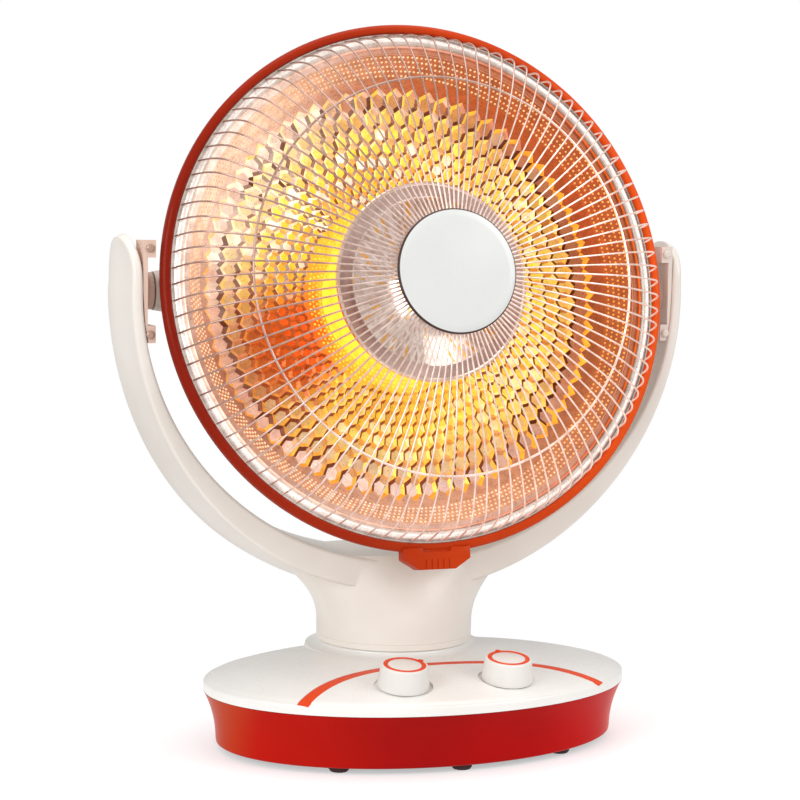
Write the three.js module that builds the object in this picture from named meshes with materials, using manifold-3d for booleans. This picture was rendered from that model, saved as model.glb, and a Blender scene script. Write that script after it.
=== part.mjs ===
// Parabolic dish heater: an oval base with two knobs, a swivelling yoke and a tilting head.
// Millimetres, +Z up, the front faces -Y, the floor is z = 0 and the base is centred on x = y = 0.
// Every length that can be set by itself is a named value below and the rest is worked out from them.
import * as THREE from "three";
import { mergeVertices } from "three/addons/utils/BufferGeometryUtils.js";
import Module from "manifold-3d";

const wasm = await Module();
wasm.setup();

// Shared clearances and walls
const clearance = 0.3;
const cutOverrun = 2;
const wall = 2.6;

// Base: an oval skirt on eight feet, closed below by a plate and above by a domed cover
const baseHalfWidth = 151.7;
const baseHalfDepth = 104.7;
const skirtInset = 8.7;
const skirtPower = 2.2;
const footHeight = 4;
const footRadius = 7;
const footAngles = [0, 38, 90, 142, 180, 218, 270, 322];
const footRingShare = 0.92;
const skirtTop = 40.4;
const rimHeight = 6.8;
const rimRounding = 1.6;
const domeRise = 11.5;
const domePower = 4;
const ovalSteps = 36;
const plateThickness = 2.4;
const ballastThickness = 7;
const ballastHalfWidth = 96;
const ballastHalfDepth = 44;
const ballastSetback = -24;

// Accent arc let into the cover
const arcRadius = 154.6;
const arcApex = -31;
const arcHalfChord = 107;
const arcWidth = 8;
const arcDepth = 1.1;
const arcSteps = 9;

// Knobs, each on a tilted axis in a shallow round recess
const knobSpacing = 74.4;
const knobSetback = -73.1;
const knobTilt = THREE.MathUtils.degToRad(8);
const knobBottomRadius = 17.4;
const knobTopRadius = 15.8;
const knobHeight = 15.6;
const knobRecess = 1.4;
const knobRecessMargin = 2.2;
const knobCrownRounding = 1.2;
const knobRingOuter = 14.2;
const knobRingWidth = 2.9;
const knobRingDepth = 0.8;
const pointerReach = 0.9;
const pointerWidth = 3.4;
const spindleRadius = 3;
const spindleBushRadius = 5;
const switchBodySize = 30;
const switchBodyDepth = 17;

// Neck and swivel at the back of the base
const neckSetback = 48;
const neckRadius = 56;
const collarRadius = 55;
const collarFlare = 9;
const swivelSeam = 62.2;
const neckFloor = 3.4;
const deckThickness = 3;
const swivelWasherThickness = 1.2;
const swivelTubeRadius = 13;
const swivelTubeWall = 2.5;
const swivelFlangeRadius = 21;
const swivelFlangeThickness = 2.4;
const swivelTubeBelow = 12;
const retainerRadius = 22;
const retainerThickness = 3.2;
const neckWall = 4;

// Yoke: a band bent into a U, thin at its flared tips and deep where it meets the neck
const pivotHeight = 312;
const pivotSetback = 28;
const yokeInnerHalfWidth = 195.5;
const yokeInnerDrop = 188.5;
const yokeOuterHalfWidth = 203;
const yokeOuterDrop = 210;
const yokeArmFront = 1;
const yokeArmBack = 67;
const yokeFootFront = 8;
const yokeFootBack = 88;
const yokeTipRise = 38;
const yokeTipFlare = 6;
const yokeCornerRadius = 2.6;
const yokeArmSwell = 3;
const yokeFootSwell = 7;
const yokeSteps = 28;

// Pivot brackets on the inside of the arms
const bracketHalfHeight = 34;
const bracketLugHeight = 11;
const bracketLugReach = 8.4;
const bracketFrontInset = 2;
const bracketDepth = 32;
const bracketConeRadius = 19;
const bracketHubRadius = 12.6;
const bracketHubReach = 10.6;
const bracketPlate = 3;
const bracketScrewRadius = 2.9;
const bracketScrewHead = 1.6;
const pivotPinRadius = 4;
const pinDepth = 9;

// Head: rim ring, reflector, guard and rear housing on the tilt axis. Reach is measured forwards
// from the plane of the rim ring.
const headTilt = THREE.MathUtils.degToRad(10);
const rimReach = 26.9;
const rimOuterRadius = 184;
const rimInnerRadius = 170;
const rimGrooveRadius = 174.8;
const rimFloor = 0.8;
const rimCrest = 3.8;
const rimCrestRadius = 179.5;
const rimShoulder = 2.6;
const rimShoulderRadius = 182.8;
const rimSideFront = 1.2;
const rimSideBack = 4;
const rimWall = 2.4;
const roundSteps = 44;
const clipHalfTop = 24;
const clipHalfBottom = 13;
const clipTopRadius = 180.4;
const clipStepRadius = 188.4;
const clipBottomRadius = 195.4;
const clipFront = 6.4;
const clipBack = 6;
const clipRibs = 5;
const clipRibPitch = 4.2;
const clipRibWidth = 1;
const clipRibDepth = 0.8;
const clipNotchHalf = 10;
const clipNotchDepth = 3;

// Polished band and reflector bowl
const bandOuterRadius = 169;
const bandInnerRadius = 162.4;
const bandCrest = 4.4;
const bandEdge = 1.6;
const sheet = 0.9;
const bowlRimRadius = 161.6;
const bowlFocus = 88;
const bowlHoleRadius = 26;
const honeycombOuterRadius = 155;
const plainRingRadius = 60;
const dimpleDepth = 3.2;
const dimpleRows = 4;
const dimplesRound = 32;

// Wire guard
const wireCount = 102;
const wireRadius = 1.05;
const guardHubRadius = 37.5;
const guardHubReach = 64.2;
const hoopRadius = 134.6;
const hoopReach = 49.4;
const hoopWireRadius = 1.3;
const hoopSpacing = 2.9;
const guardBrowRadius = 166;
const guardBrowReach = 35;
const guardBendRadius = 184;
const guardBendReach = 14;
const guardFootRadius = 171.5;
const guardRingRadius = 1.4;

// Badge disc at the middle of the guard and the disc that clamps it from behind
const badgeRadius = 42;
const badgeThickness = 3.4;
const badgeCrown = 0.7;
const badgeEdge = 0.6;
const clampLip = 2.4;
const clampThickness = 1.8;

// Secondary reflector in front of the element
const capLipRadius = 68.9;
const capBandRadius = 58;
const capReach = 22;
const capDepth = 22;
const capLipWidth = 2.6;
const capLipDrop = 3;
const capFacets = 24;
const capRows = 3;

// Heating element
const coreBaseRadius = 14;
const coreTopRadius = 9.5;
const coilWireRadius = 1.1;
const coilTurns = 6;
const coilTurnSteps = 8;
const coilWireSides = 5;
const coilClearance = 0.5;
const coilMargin = 4;
const socketRadius = 24.4;
const socketFlange = 31;
const socketFlangeThickness = 2.2;
const socketStemRadius = 16;
const socketRise = 3;

// Rear housing
const housingFrontRadius = 181.3;
const housingLedgeRadius = 164;
const housingSideRadius = 176;
const housingShoulderRadius = 150;
const housingShoulderReach = -56;
const housingBackRadius = 96;
const housingBackReach = -86;
const bossRadius = 13;
const bossFace = 183.6;
const bossRoot = 158;
const bossDraft = 4;
const pinBoreMargin = 1;
const housingSteps = 44;
const rearCoverRadius = 60;
const rearCoverDepth = 5;
const ventSlots = 12;
const ventSlotWidth = 3.2;
const ventInnerRadius = 72;
const ventOuterRadius = 90;

// Tilt-over switch, terminal block and cord inlet
const tipSwitchWidth = 22;
const tipSwitchDepth = 20;
const tipSwitchHeight = 18;
const tipSwitchPlace = 96;
const tipSwitchSetback = 40;
const plungerRadius = 4.5;
const plungerTravel = 3;
const plungerFloorGap = 0.4;
const plungerCollarRadius = 6.5;
const plungerCollarHeight = 1.6;
const plungerStemRadius = 3;
const plungerStem = 6;
const terminalWidth = 42;
const terminalDepth = 14;
const terminalHeight = 13;
const terminalPlace = -70;
const terminalSetback = 42;
const inletHeight = 21;
const inletRadius = 8;
const inletBoreRadius = 3.6;
const inletReach = 6.9;
const inletFlange = 2;
const inletSink = 1.8;
const screwRadius = 1.8;
const screwHeadRadius = 3.6;
const screwHeadHeight = 2;
const screwBossRadius = 4.6;
const screwBossWidth = 88;
const screwBossDepth = 56;

// Places that follow from the sizes
const ballastFloor = footHeight + plateThickness;
const rimTop = skirtTop + rimHeight;
const neckBottom = swivelSeam + clearance;
const deckTop = swivelSeam - swivelWasherThickness - clearance;
const armInnerFace = yokeInnerHalfWidth;
const bandBack = clearance - rimWall + sheet;
const guardFootReach = rimFloor + clearance + guardRingRadius;
const guardClampFace = guardHubReach + wireRadius + clearance;
const fullTurn = Math.PI * 2;
const quarterTurn = Math.PI / 2;

// Finishes
const finish = (color, roughness, metalness) => new THREE.MeshStandardMaterial({ color, roughness, metalness });
const whitePlastic = finish(0xf2eee8, 0.4, 0);
const redGloss = finish(0xb5161c, 0.15, 0);
const orangePlastic = finish(0xdc4a20, 0.35, 0);
const chrome = finish(0xe4e2de, 0.15, 1);
const warmChrome = finish(0xe0a878, 0.2, 1);
const steel = finish(0x9a9a98, 0.4, 1);
const castWeight = finish(0x4a4c4e, 0.7, 0.8);
const blackPlastic = finish(0x232325, 0.6, 0);
const greyPlastic = finish(0x6c6c70, 0.6, 0);
const rubber = finish(0x2c1616, 0.9, 0);
const ceramic = finish(0xe9dfcf, 0.8, 0);
const glowingWire = finish(0xff8a3a, 0.5, 0.6);
const brass = finish(0xc9a24a, 0.35, 1);
const nylon = finish(0xd8d4c6, 0.6, 0);
const bracketPlastic = finish(0xd9b49c, 0.5, 0);

const heater = new THREE.Group();
const swivel = new THREE.Group();
swivel.position.set(0, neckSetback, 0);
heater.add(swivel);
const head = new THREE.Group();
head.position.set(0, pivotSetback - neckSetback, pivotHeight);
head.rotation.x = -headTilt;
swivel.add(head);

function addPiece(parent, name, geometry, material, place) {
  const piece = new THREE.Mesh(geometry, material);
  piece.name = name;
  if (place) piece.position.copy(place);
  parent.add(piece);
  return piece;
}

// Solids and meshes

function toSolid(geometry) {
  const bare = geometry.clone();
  bare.deleteAttribute("normal");
  bare.deleteAttribute("uv");
  const merged = mergeVertices(bare, 1e-4);
  const vertProperties = new Float32Array(merged.attributes.position.array);
  const triVerts = new Uint32Array(merged.index.array);
  const mesh = new wasm.Mesh({ numProp: 3, vertProperties, triVerts });
  return new wasm.Manifold(mesh);
}

function toGeometry(solid) {
  const mesh = solid.getMesh();
  const geometry = new THREE.BufferGeometry();
  geometry.setAttribute("position", new THREE.BufferAttribute(new Float32Array(mesh.vertProperties), 3));
  geometry.setIndex(new THREE.BufferAttribute(new Uint32Array(mesh.triVerts), 1));
  geometry.computeVertexNormals();
  return geometry;
}

// Skin over rings of points: quads between neighbours and fans that close both ends,
// or a skin that runs back to its first ring when it is looped.
function skin(rings, looped = false) {
  const count = rings[0].length;
  const points = rings.flat();
  const faces = [];
  const lastRing = looped ? rings.length : rings.length - 1;
  for (let ring = 0; ring < lastRing; ring += 1) {
    const next = (ring + 1) % rings.length;
    for (let i = 0; i < count; i += 1) {
      const j = (i + 1) % count;
      const a = ring * count + i;
      const b = ring * count + j;
      const c = next * count + j;
      const d = next * count + i;
      faces.push(a, b, c, a, c, d);
    }
  }
  if (!looped) {
    const top = (rings.length - 1) * count;
    for (let i = 1; i < count - 1; i += 1) {
      faces.push(0, i + 1, i);
      faces.push(top, top + i, top + i + 1);
    }
  }
  const geometry = new THREE.BufferGeometry();
  const flat = points.flatMap((point) => [point.x, point.y, point.z]);
  geometry.setAttribute("position", new THREE.Float32BufferAttribute(flat, 3));
  geometry.setIndex(faces);
  geometry.computeVertexNormals();
  return geometry;
}

// Oval rings run anticlockwise seen from above, so a stack that rises has its faces outwards.
function ovalRing(halfWidth, halfDepth, height, setback = 0) {
  return Array.from({ length: ovalSteps }, (_, i) => {
    const angle = (i / ovalSteps) * fullTurn;
    return new THREE.Vector3(Math.cos(angle) * halfWidth, Math.sin(angle) * halfDepth + setback, height);
  });
}

// A revolved profile of [radius, height] pairs about Z; the profile starts and ends on the axis
// or returns to its own first point.
function turned(profile, steps = roundSteps) {
  const ends = profile.map(([radius, height], i) => {
    const [nextRadius, nextHeight] = profile[(i + 1) % profile.length];
    return radius * nextHeight - nextRadius * height;
  });
  const turn = ends.reduce((sum, value) => sum + value, 0);
  const ordered = turn < 0 ? [...profile].reverse() : profile;
  const points = ordered.map(([radius, height]) => new THREE.Vector2(radius, height));
  const geometry = new THREE.LatheGeometry(points, steps);
  geometry.rotateX(quarterTurn);
  return geometry;
}

function ringProfile(inner, outer, bottom, top) {
  return [[inner, bottom], [outer, bottom], [outer, top], [inner, top], [inner, bottom]];
}

function discProfile(radius, bottom, top) {
  return [[0, bottom], [radius, bottom], [radius, top], [0, top]];
}

// Head pieces are turned about the head's own axis: heights become reach in front of the rim plane.
function facingFront(geometry) {
  geometry.rotateX(quarterTurn);
  geometry.translate(0, -rimReach, 0);
  return geometry;
}

function headTurned(profile, steps) {
  return facingFront(turned(profile, steps));
}

function block(width, depth, height, x, y, z) {
  const geometry = new THREE.BoxGeometry(width, depth, height);
  geometry.translate(x, y, z);
  return geometry;
}

function rod(radius, bottom, top, steps = 24) {
  return turned(discProfile(radius, bottom, top), steps);
}

// Base

function skirtOffset(height) {
  const share = (height - footHeight) / (skirtTop - footHeight);
  return skirtInset * (1 - share ** skirtPower);
}

function skirtRing(height, inset) {
  const offset = skirtOffset(height) + inset;
  return ovalRing(baseHalfWidth - offset, baseHalfDepth - offset, height);
}

function makeSkirt() {
  const heights = [0, 0.35, 0.65, 0.86, 1].map((share) => footHeight + share * (skirtTop - footHeight));
  const outside = heights.map((height) => skirtRing(height, 0));
  const inside = heights.map((height) => skirtRing(height, wall)).reverse();
  const shell = toSolid(skin([...outside, ...inside], true));
  const bore = inletCutter(inletRadius + clearance);
  return toGeometry(shell.subtract(bore));
}

function inletCutter(radius) {
  const cutter = rod(radius, -inletFlange - wall * 4, inletReach + wall * 2, 16);
  cutter.rotateX(quarterTurn);
  cutter.rotateZ(Math.PI);
  cutter.translate(0, inletFace(), inletHeight);
  return toSolid(cutter);
}

function inletFace() {
  return baseHalfDepth - skirtOffset(inletHeight);
}

function makeBasePlate() {
  const offset = wall + clearance;
  const rings = [skirtRing(footHeight, offset), skirtRing(footHeight + plateThickness, offset)];
  let plate = toSolid(skin(rings));
  const hole = toSolid(rod(plungerRadius + clearance * 2, 0, rimTop));
  plate = plate.subtract(hole.translate([tipSwitchPlace, tipSwitchSetback, 0]));
  for (const [x, y] of screwPlaces()) {
    const shaft = toSolid(rod(screwRadius + clearance, 0, rimTop, 8));
    plate = plate.subtract(shaft.translate([x, y, 0]));
  }
  return toGeometry(plate);
}

function screwPlaces() {
  const places = [];
  for (const side of [-1, 1]) {
    for (const end of [-1, 1]) places.push([side * screwBossWidth, end * screwBossDepth]);
  }
  return places;
}

function domeHeight(share) {
  return rimTop + domeRise * (1 - share ** domePower);
}

function domeHeightAt(x, y) {
  return domeHeight(Math.hypot(x / baseHalfWidth, y / baseHalfDepth));
}

function domeSolid(drop, inset) {
  const rings = [ovalRing(baseHalfWidth - inset, baseHalfDepth - inset, skirtTop + clearance - drop)];
  rings.push(ovalRing(baseHalfWidth - inset, baseHalfDepth - inset, rimTop - rimRounding - drop));
  for (const share of [0.985, 0.9, 0.72, 0.4]) {
    const halfWidth = (baseHalfWidth - inset) * share;
    const halfDepth = (baseHalfDepth - inset) * share;
    rings.push(ovalRing(halfWidth, halfDepth, domeHeight(share) - drop));
  }
  return toSolid(skin(rings));
}

function arcBand(width, bottom) {
  const centre = arcApex - arcRadius;
  const half = Math.asin(arcHalfChord / arcRadius);
  const outline = new THREE.Shape();
  const middle = quarterTurn;
  outline.absarc(0, centre, arcRadius + width / 2, middle - half, middle + half, false);
  outline.absarc(0, centre, arcRadius - width / 2, middle + half, middle - half, true);
  outline.closePath();
  const geometry = new THREE.ExtrudeGeometry(outline, {
    depth: rimTop + domeRise * 2 - bottom,
    bevelEnabled: false,
    curveSegments: arcSteps,
  });
  geometry.translate(0, 0, bottom);
  return toSolid(geometry);
}

function makeAccentArc() {
  const layer = domeSolid(0, 0).subtract(domeSolid(arcDepth, -cutOverrun));
  return toGeometry(arcBand(arcWidth, rimTop - rimRounding - arcDepth).intersect(layer));
}

function knobBase(side) {
  const x = (side * knobSpacing) / 2;
  return new THREE.Vector3(x, knobSetback, domeHeightAt(x, knobSetback) - knobRecess);
}

function onKnobAxis(geometry, side) {
  geometry.rotateX(knobTilt);
  const base = knobBase(side);
  geometry.translate(base.x, base.y, base.z);
  return geometry;
}

function ovalColumn(inset, bottom, top) {
  const rings = [bottom, top].map((height) => ovalRing(baseHalfWidth - inset, baseHalfDepth - inset, height));
  return toSolid(skin(rings));
}

function atNeck(solid) {
  return solid.translate([0, neckSetback, 0]);
}

function collarSolid() {
  const profile = [
    [0, rimTop - rimRounding],
    [collarRadius + collarFlare * 1.5, rimTop - rimRounding],
    [collarRadius + collarFlare, domeHeight(0.5) - clearance],
    [collarRadius + collarFlare * 0.4, domeHeight(0.5) + clearance * 2],
    [collarRadius + collarFlare * 0.12, domeHeight(0) + clearance * 4],
    [collarRadius, swivelSeam],
    [0, swivelSeam],
  ];
  return atNeck(toSolid(turned(profile, 36))).intersect(ovalColumn(0, skirtTop, swivelSeam));
}

function makeCover() {
  const outer = domeSolid(0, 0).add(collarSolid());
  const inner = domeSolid(wall, wall).add(ovalColumn(wall, 0, rimTop - rimRounding - wall));
  const below = atNeck(toSolid(rod(collarRadius - wall, 0, deckTop - deckThickness, 28)));
  const above = atNeck(toSolid(rod(collarRadius - wall, deckTop, rimTop * 2, 28)));
  const shaft = atNeck(toSolid(rod(swivelTubeRadius + clearance, 0, rimTop * 2, 20)));
  const neckBelow = below.intersect(ovalColumn(wall, 0, rimTop * 2));
  let cover = outer.subtract(inner).subtract(neckBelow).subtract(above).subtract(shaft);
  for (const [x, y] of screwPlaces()) cover = cover.add(screwBoss(x, y));
  for (const side of [-1, 1]) {
    const recess = rod(knobBottomRadius + knobRecessMargin, 0, knobHeight, 24);
    const floor = rod(knobBottomRadius + knobRecessMargin + wall, -wall, clearance, 16);
    const bore = rod(spindleBushRadius + clearance, -domeRise, knobHeight, 12);
    cover = cover.add(toSolid(onKnobAxis(floor, side)).intersect(outer));
    cover = cover.subtract(toSolid(onKnobAxis(recess, side)));
    cover = cover.subtract(toSolid(onKnobAxis(bore, side)));
  }
  const groove = arcBand(arcWidth + clearance * 2, skirtTop).subtract(domeSolid(arcDepth + clearance, -cutOverrun));
  return toGeometry(cover.subtract(groove));
}

function screwBoss(x, y) {
  const top = domeHeightAt(x, y) - wall / 2;
  const bottom = ballastFloor + clearance;
  const boss = toSolid(rod(screwBossRadius, bottom, top, 10));
  const bore = toSolid(rod(screwRadius + clearance, 0, top - wall * 2, 8));
  return boss.subtract(bore).translate([x, y, 0]);
}

function makeFoot(index) {
  const angle = THREE.MathUtils.degToRad(footAngles[index]);
  const offset = skirtOffset(footHeight) + wall;
  const x = Math.sin(angle) * (baseHalfWidth - offset) * footRingShare;
  const y = -Math.cos(angle) * (baseHalfDepth - offset) * footRingShare;
  const profile = [[0, 0], [footRadius - 1.2, 0], [footRadius, footHeight * 0.4], [footRadius, footHeight], [0, footHeight]];
  const geometry = turned(profile, 14);
  geometry.translate(x, y, 0);
  return geometry;
}

function makeBallast() {
  const rings = [ballastFloor, ballastFloor + ballastThickness].map((height) => {
    return ovalRing(ballastHalfWidth, ballastHalfDepth, height, ballastSetback);
  });
  let weight = toSolid(skin(rings));
  for (const [x, y] of screwPlaces()) {
    weight = weight.subtract(toSolid(rod(screwBossRadius + clearance, 0, rimTop, 12)).translate([x, y, 0]));
  }
  return toGeometry(weight);
}

function makePlateScrew(x, y) {
  const head = footHeight - clearance;
  const tip = ballastFloor + screwHeadHeight * 6;
  const profile = [
    [0, head - screwHeadHeight],
    [screwHeadRadius, head - screwHeadHeight],
    [screwHeadRadius, head],
    [screwRadius, head],
    [screwRadius, tip],
    [0, tip],
  ];
  const geometry = turned(profile, 8);
  geometry.translate(x, y, 0);
  return geometry;
}

function buildBase() {
  addPiece(heater, "base_skirt", makeSkirt(), redGloss);
  addPiece(heater, "base_plate", makeBasePlate(), blackPlastic);
  addPiece(heater, "base_cover", makeCover(), whitePlastic);
  addPiece(heater, "accent_arc", makeAccentArc(), orangePlastic);
  addPiece(heater, "ballast_weight", makeBallast(), castWeight);
  footAngles.forEach((_, index) => addPiece(heater, `foot_${index + 1}`, makeFoot(index), rubber));
  screwPlaces().forEach(([x, y], index) => {
    addPiece(heater, `plate_screw_${index + 1}`, makePlateScrew(x, y), steel);
  });
}

// Knobs and the switches under them

function makeKnob() {
  const top = knobHeight + clearance;
  const bottom = clearance;
  const ringInner = knobRingOuter - knobRingWidth;
  const rounding = knobCrownRounding;
  const body = turned([
    [0, bottom],
    [knobBottomRadius, bottom],
    [knobTopRadius + rounding * 0.2, top - rounding],
    [knobTopRadius - rounding, top],
    [0, top],
  ], 28);
  const socket = rod(spindleBushRadius + clearance * 2, 0, knobHeight * 0.3, 12);
  const grip = rod(spindleRadius + clearance, 0, knobHeight * 0.72, 10);
  const groove = turned(ringProfile(ringInner - clearance, knobRingOuter, top - knobRingDepth, top + cutOverrun), 28);
  return toGeometry(
    toSolid(body).subtract(toSolid(socket)).subtract(toSolid(grip)).subtract(toSolid(groove)).subtract(pointerSolid(clearance)),
  );
}

function pointerSolid(margin) {
  const top = knobHeight + clearance;
  const depth = knobRingDepth + (margin > 0 ? cutOverrun : 0);
  const reach = knobRingOuter + pointerReach + margin;
  const tab = block(pointerWidth + margin * 2, reach, depth, 0, reach / 2, top - knobRingDepth + depth / 2);
  const core = rod(knobRingOuter - knobRingWidth / 2, 0, knobHeight * 2, 14);
  return toSolid(tab).subtract(toSolid(core));
}

function makeKnobRing() {
  const top = knobHeight + clearance;
  const ring = turned(ringProfile(knobRingOuter - knobRingWidth, knobRingOuter - clearance, top - knobRingDepth, top), 28);
  return toGeometry(toSolid(ring).add(pointerSolid(0)));
}

function makeSpindle() {
  const flat = block(spindleRadius * 2, spindleRadius, knobHeight, 0, spindleRadius * 1.2, knobHeight * 0.75);
  const shaft = rod(spindleRadius, clearance - domeRise, knobHeight * 0.68, 12);
  return toGeometry(toSolid(shaft).subtract(toSolid(flat)));
}

function makeSwitchBody() {
  const top = knobRecess - wall - clearance * 2;
  const body = block(switchBodySize, switchBodySize, switchBodyDepth, 0, 0, top - switchBodyDepth / 2 - wall);
  const bush = rod(spindleBushRadius, top - wall * 2, knobHeight * 0.16, 12);
  const bore = rod(spindleRadius + clearance, -domeRise, knobHeight, 10);
  const tags = [-1, 0, 1].map((place) => {
    const tag = block(4, 0.8, 6, (place * switchBodySize) / 3, 0, top - wall - switchBodyDepth - 2);
    return toSolid(tag);
  });
  let solid = toSolid(body).add(toSolid(bush));
  for (const tag of tags) solid = solid.add(tag);
  return toGeometry(solid.subtract(toSolid(bore)));
}

function buildKnobs() {
  const sides = [
    { side: -1, name: "heat", body: "heat_switch", pointer: THREE.MathUtils.degToRad(-69) },
    { side: 1, name: "timer", body: "timer_unit", pointer: THREE.MathUtils.degToRad(9) },
  ];
  for (const { side, name, body, pointer } of sides) {
    const station = new THREE.Group();
    station.position.copy(knobBase(side));
    station.rotation.x = knobTilt;
    heater.add(station);
    const turning = new THREE.Group();
    turning.rotation.z = pointer;
    station.add(turning);
    addPiece(turning, `${name}_knob`, makeKnob(), whitePlastic);
    addPiece(turning, `${name}_knob_ring`, makeKnobRing(), orangePlastic);
    addPiece(turning, `${name}_spindle`, makeSpindle(), steel);
    addPiece(station, body, makeSwitchBody(), blackPlastic);
  }
}

// Electrical pieces in the base

// The plunger is drawn pressed in, as it is when the heater stands: it can drop by its travel.
function plungerLevels() {
  const collarBottom = ballastFloor + clearance + plungerTravel;
  const collarTop = collarBottom + plungerCollarHeight;
  return { collarBottom, collarTop, stemTop: collarTop + plungerStem };
}

function makePlunger() {
  const { collarBottom, collarTop, stemTop } = plungerLevels();
  return turned([
    [0, plungerFloorGap],
    [plungerRadius - plungerFloorGap * 2, plungerFloorGap],
    [plungerRadius, plungerFloorGap * 3],
    [plungerRadius, collarBottom],
    [plungerCollarRadius, collarBottom],
    [plungerCollarRadius, collarTop],
    [plungerStemRadius, collarTop],
    [plungerStemRadius, stemTop],
    [0, stemTop],
  ], 14);
}

function makeTipSwitch() {
  const { collarTop, stemTop } = plungerLevels();
  const floor = ballastFloor;
  const body = block(tipSwitchWidth, tipSwitchDepth, tipSwitchHeight, 0, 0, floor + tipSwitchHeight / 2);
  const well = rod(plungerCollarRadius + clearance, 0, collarTop + clearance, 14);
  const bore = rod(plungerStemRadius + clearance, 0, stemTop + clearance, 12);
  const geometry = toGeometry(toSolid(body).subtract(toSolid(well)).subtract(toSolid(bore)));
  geometry.translate(tipSwitchPlace, tipSwitchSetback, 0);
  return geometry;
}

function makeTerminalBlock() {
  const floor = ballastFloor;
  const ways = 4;
  const pitch = terminalWidth / ways;
  let solid = toSolid(block(terminalWidth, terminalDepth, terminalHeight, 0, 0, floor + terminalHeight / 2));
  for (let way = 0; way < ways; way += 1) {
    const x = (way - (ways - 1) / 2) * pitch;
    const well = rod(pitch * 0.28, floor + terminalHeight * 0.5, floor + terminalHeight + cutOverrun, 8);
    well.translate(x, 0, 0);
    const mouth = block(pitch * 0.5, terminalDepth + cutOverrun, terminalHeight * 0.3, x, 0, floor + terminalHeight * 0.4);
    solid = solid.subtract(toSolid(well)).subtract(toSolid(mouth));
  }
  return toGeometry(solid.translate([terminalPlace, terminalSetback, 0]));
}

function makeInlet() {
  const profile = [
    [inletBoreRadius, -wall - inletFlange - inletSink],
    [inletRadius + inletFlange, -wall - inletFlange - inletSink],
    [inletRadius + inletFlange, -wall - inletSink],
    [inletRadius, -wall - inletSink],
    [inletRadius, inletReach * 0.3],
    [inletRadius * 0.75, inletReach],
    [inletBoreRadius, inletReach],
    [inletBoreRadius, -wall - inletFlange - inletSink],
  ];
  const geometry = turned(profile, 16);
  geometry.rotateX(quarterTurn);
  geometry.rotateZ(Math.PI);
  geometry.translate(0, inletFace(), inletHeight);
  return geometry;
}

function buildElectrics() {
  const plungerPlace = new THREE.Vector3(tipSwitchPlace, tipSwitchSetback, 0);
  addPiece(heater, "tip_switch", makeTipSwitch(), blackPlastic);
  addPiece(heater, "tip_plunger", makePlunger(), greyPlastic, plungerPlace);
  addPiece(heater, "terminal_block", makeTerminalBlock(), nylon);
  addPiece(heater, "cord_inlet", makeInlet(), blackPlastic);
}

// Yoke and swivel

function smooth(share) {
  return share * share * (3 - 2 * share);
}

// One section of the band: inner and outer points in the XZ plane, front and back depths.
function bandSection(inner, outer, front, back, swell) {
  const across = new THREE.Vector2().subVectors(outer, inner);
  const thickness = across.length();
  const direction = across.clone().divideScalar(thickness);
  const corner = Math.min(yokeCornerRadius, thickness * 0.36, (back - front) * 0.2);
  const rear = thickness + swell;
  const table = [
    [corner, front],
    [thickness - corner, front],
    [thickness, front + corner],
    [thickness + swell * 0.7, front + (back - front) * 0.35],
    [rear, front + (back - front) * 0.65],
    [rear, back - corner],
    [rear - corner, back],
    [corner, back],
    [0, back - corner],
    [0, front + corner],
  ];
  return table.map(([reach, depth]) => {
    return new THREE.Vector3(inner.x + direction.x * reach, depth, inner.y + direction.y * reach);
  });
}

function armTopSections(side) {
  const middle = (yokeArmFront + yokeArmBack) / 2;
  const half = (yokeArmBack - yokeArmFront) / 2;
  return [0.35, 0.62, 0.84, 0.95, 1].map((share) => {
    const flare = yokeTipFlare * share ** 2.4;
    const fade = Math.max(0, share - 0.3) / 0.72;
    const round = Math.sqrt(1 - fade * fade);
    const thin = 1 - 0.3 * share;
    const inner = new THREE.Vector2(side * (yokeInnerHalfWidth + flare), pivotHeight + yokeTipRise * share);
    const thickness = (yokeOuterHalfWidth - yokeInnerHalfWidth) * thin;
    const outer = new THREE.Vector2(inner.x + side * thickness, inner.y - flare * 0.4);
    return bandSection(inner, outer, middle - half * round, middle + half * round, yokeArmSwell * round * thin);
  });
}

function bandSections() {
  const sections = [...armTopSections(-1).reverse()];
  for (let i = 0; i <= yokeSteps; i += 1) {
    const angle = Math.PI + (i / yokeSteps) * Math.PI;
    const cosine = Math.cos(angle);
    const sine = Math.sin(angle);
    const drop = smooth(Math.abs(sine) ** 1.3);
    const inner = new THREE.Vector2(cosine * yokeInnerHalfWidth, pivotHeight + sine * yokeInnerDrop);
    const outer = new THREE.Vector2(cosine * yokeOuterHalfWidth, pivotHeight + sine * yokeOuterDrop);
    const front = THREE.MathUtils.lerp(yokeArmFront, yokeFootFront, drop);
    const back = THREE.MathUtils.lerp(yokeArmBack, yokeFootBack, drop);
    const swell = THREE.MathUtils.lerp(yokeArmSwell, yokeFootSwell, drop);
    sections.push(bandSection(inner, outer, front, back, swell));
  }
  sections.push(...armTopSections(1));
  return sections;
}

// The neck rises as a round column and spreads sideways into the underside of the band.
function neckSections() {
  const bandBottom = pivotHeight - yokeOuterDrop;
  const spread = neckRadius * 0.68;
  const rise = neckRadius * 0.26;
  const narrowing = neckRadius * 0.3;
  const rings = [ovalRing(neckRadius, neckRadius, neckBottom, neckSetback)];
  for (const share of [0, 0.3, 0.6, 0.85, 1]) {
    const turn = share * quarterTurn;
    const halfWidth = neckRadius + spread * (1 - Math.cos(turn));
    const halfDepth = neckRadius - narrowing * (1 - Math.cos(turn));
    rings.push(ovalRing(halfWidth, halfDepth, bandBottom - rise + rise * 2 * Math.sin(turn), neckSetback));
  }
  return rings;
}

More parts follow.
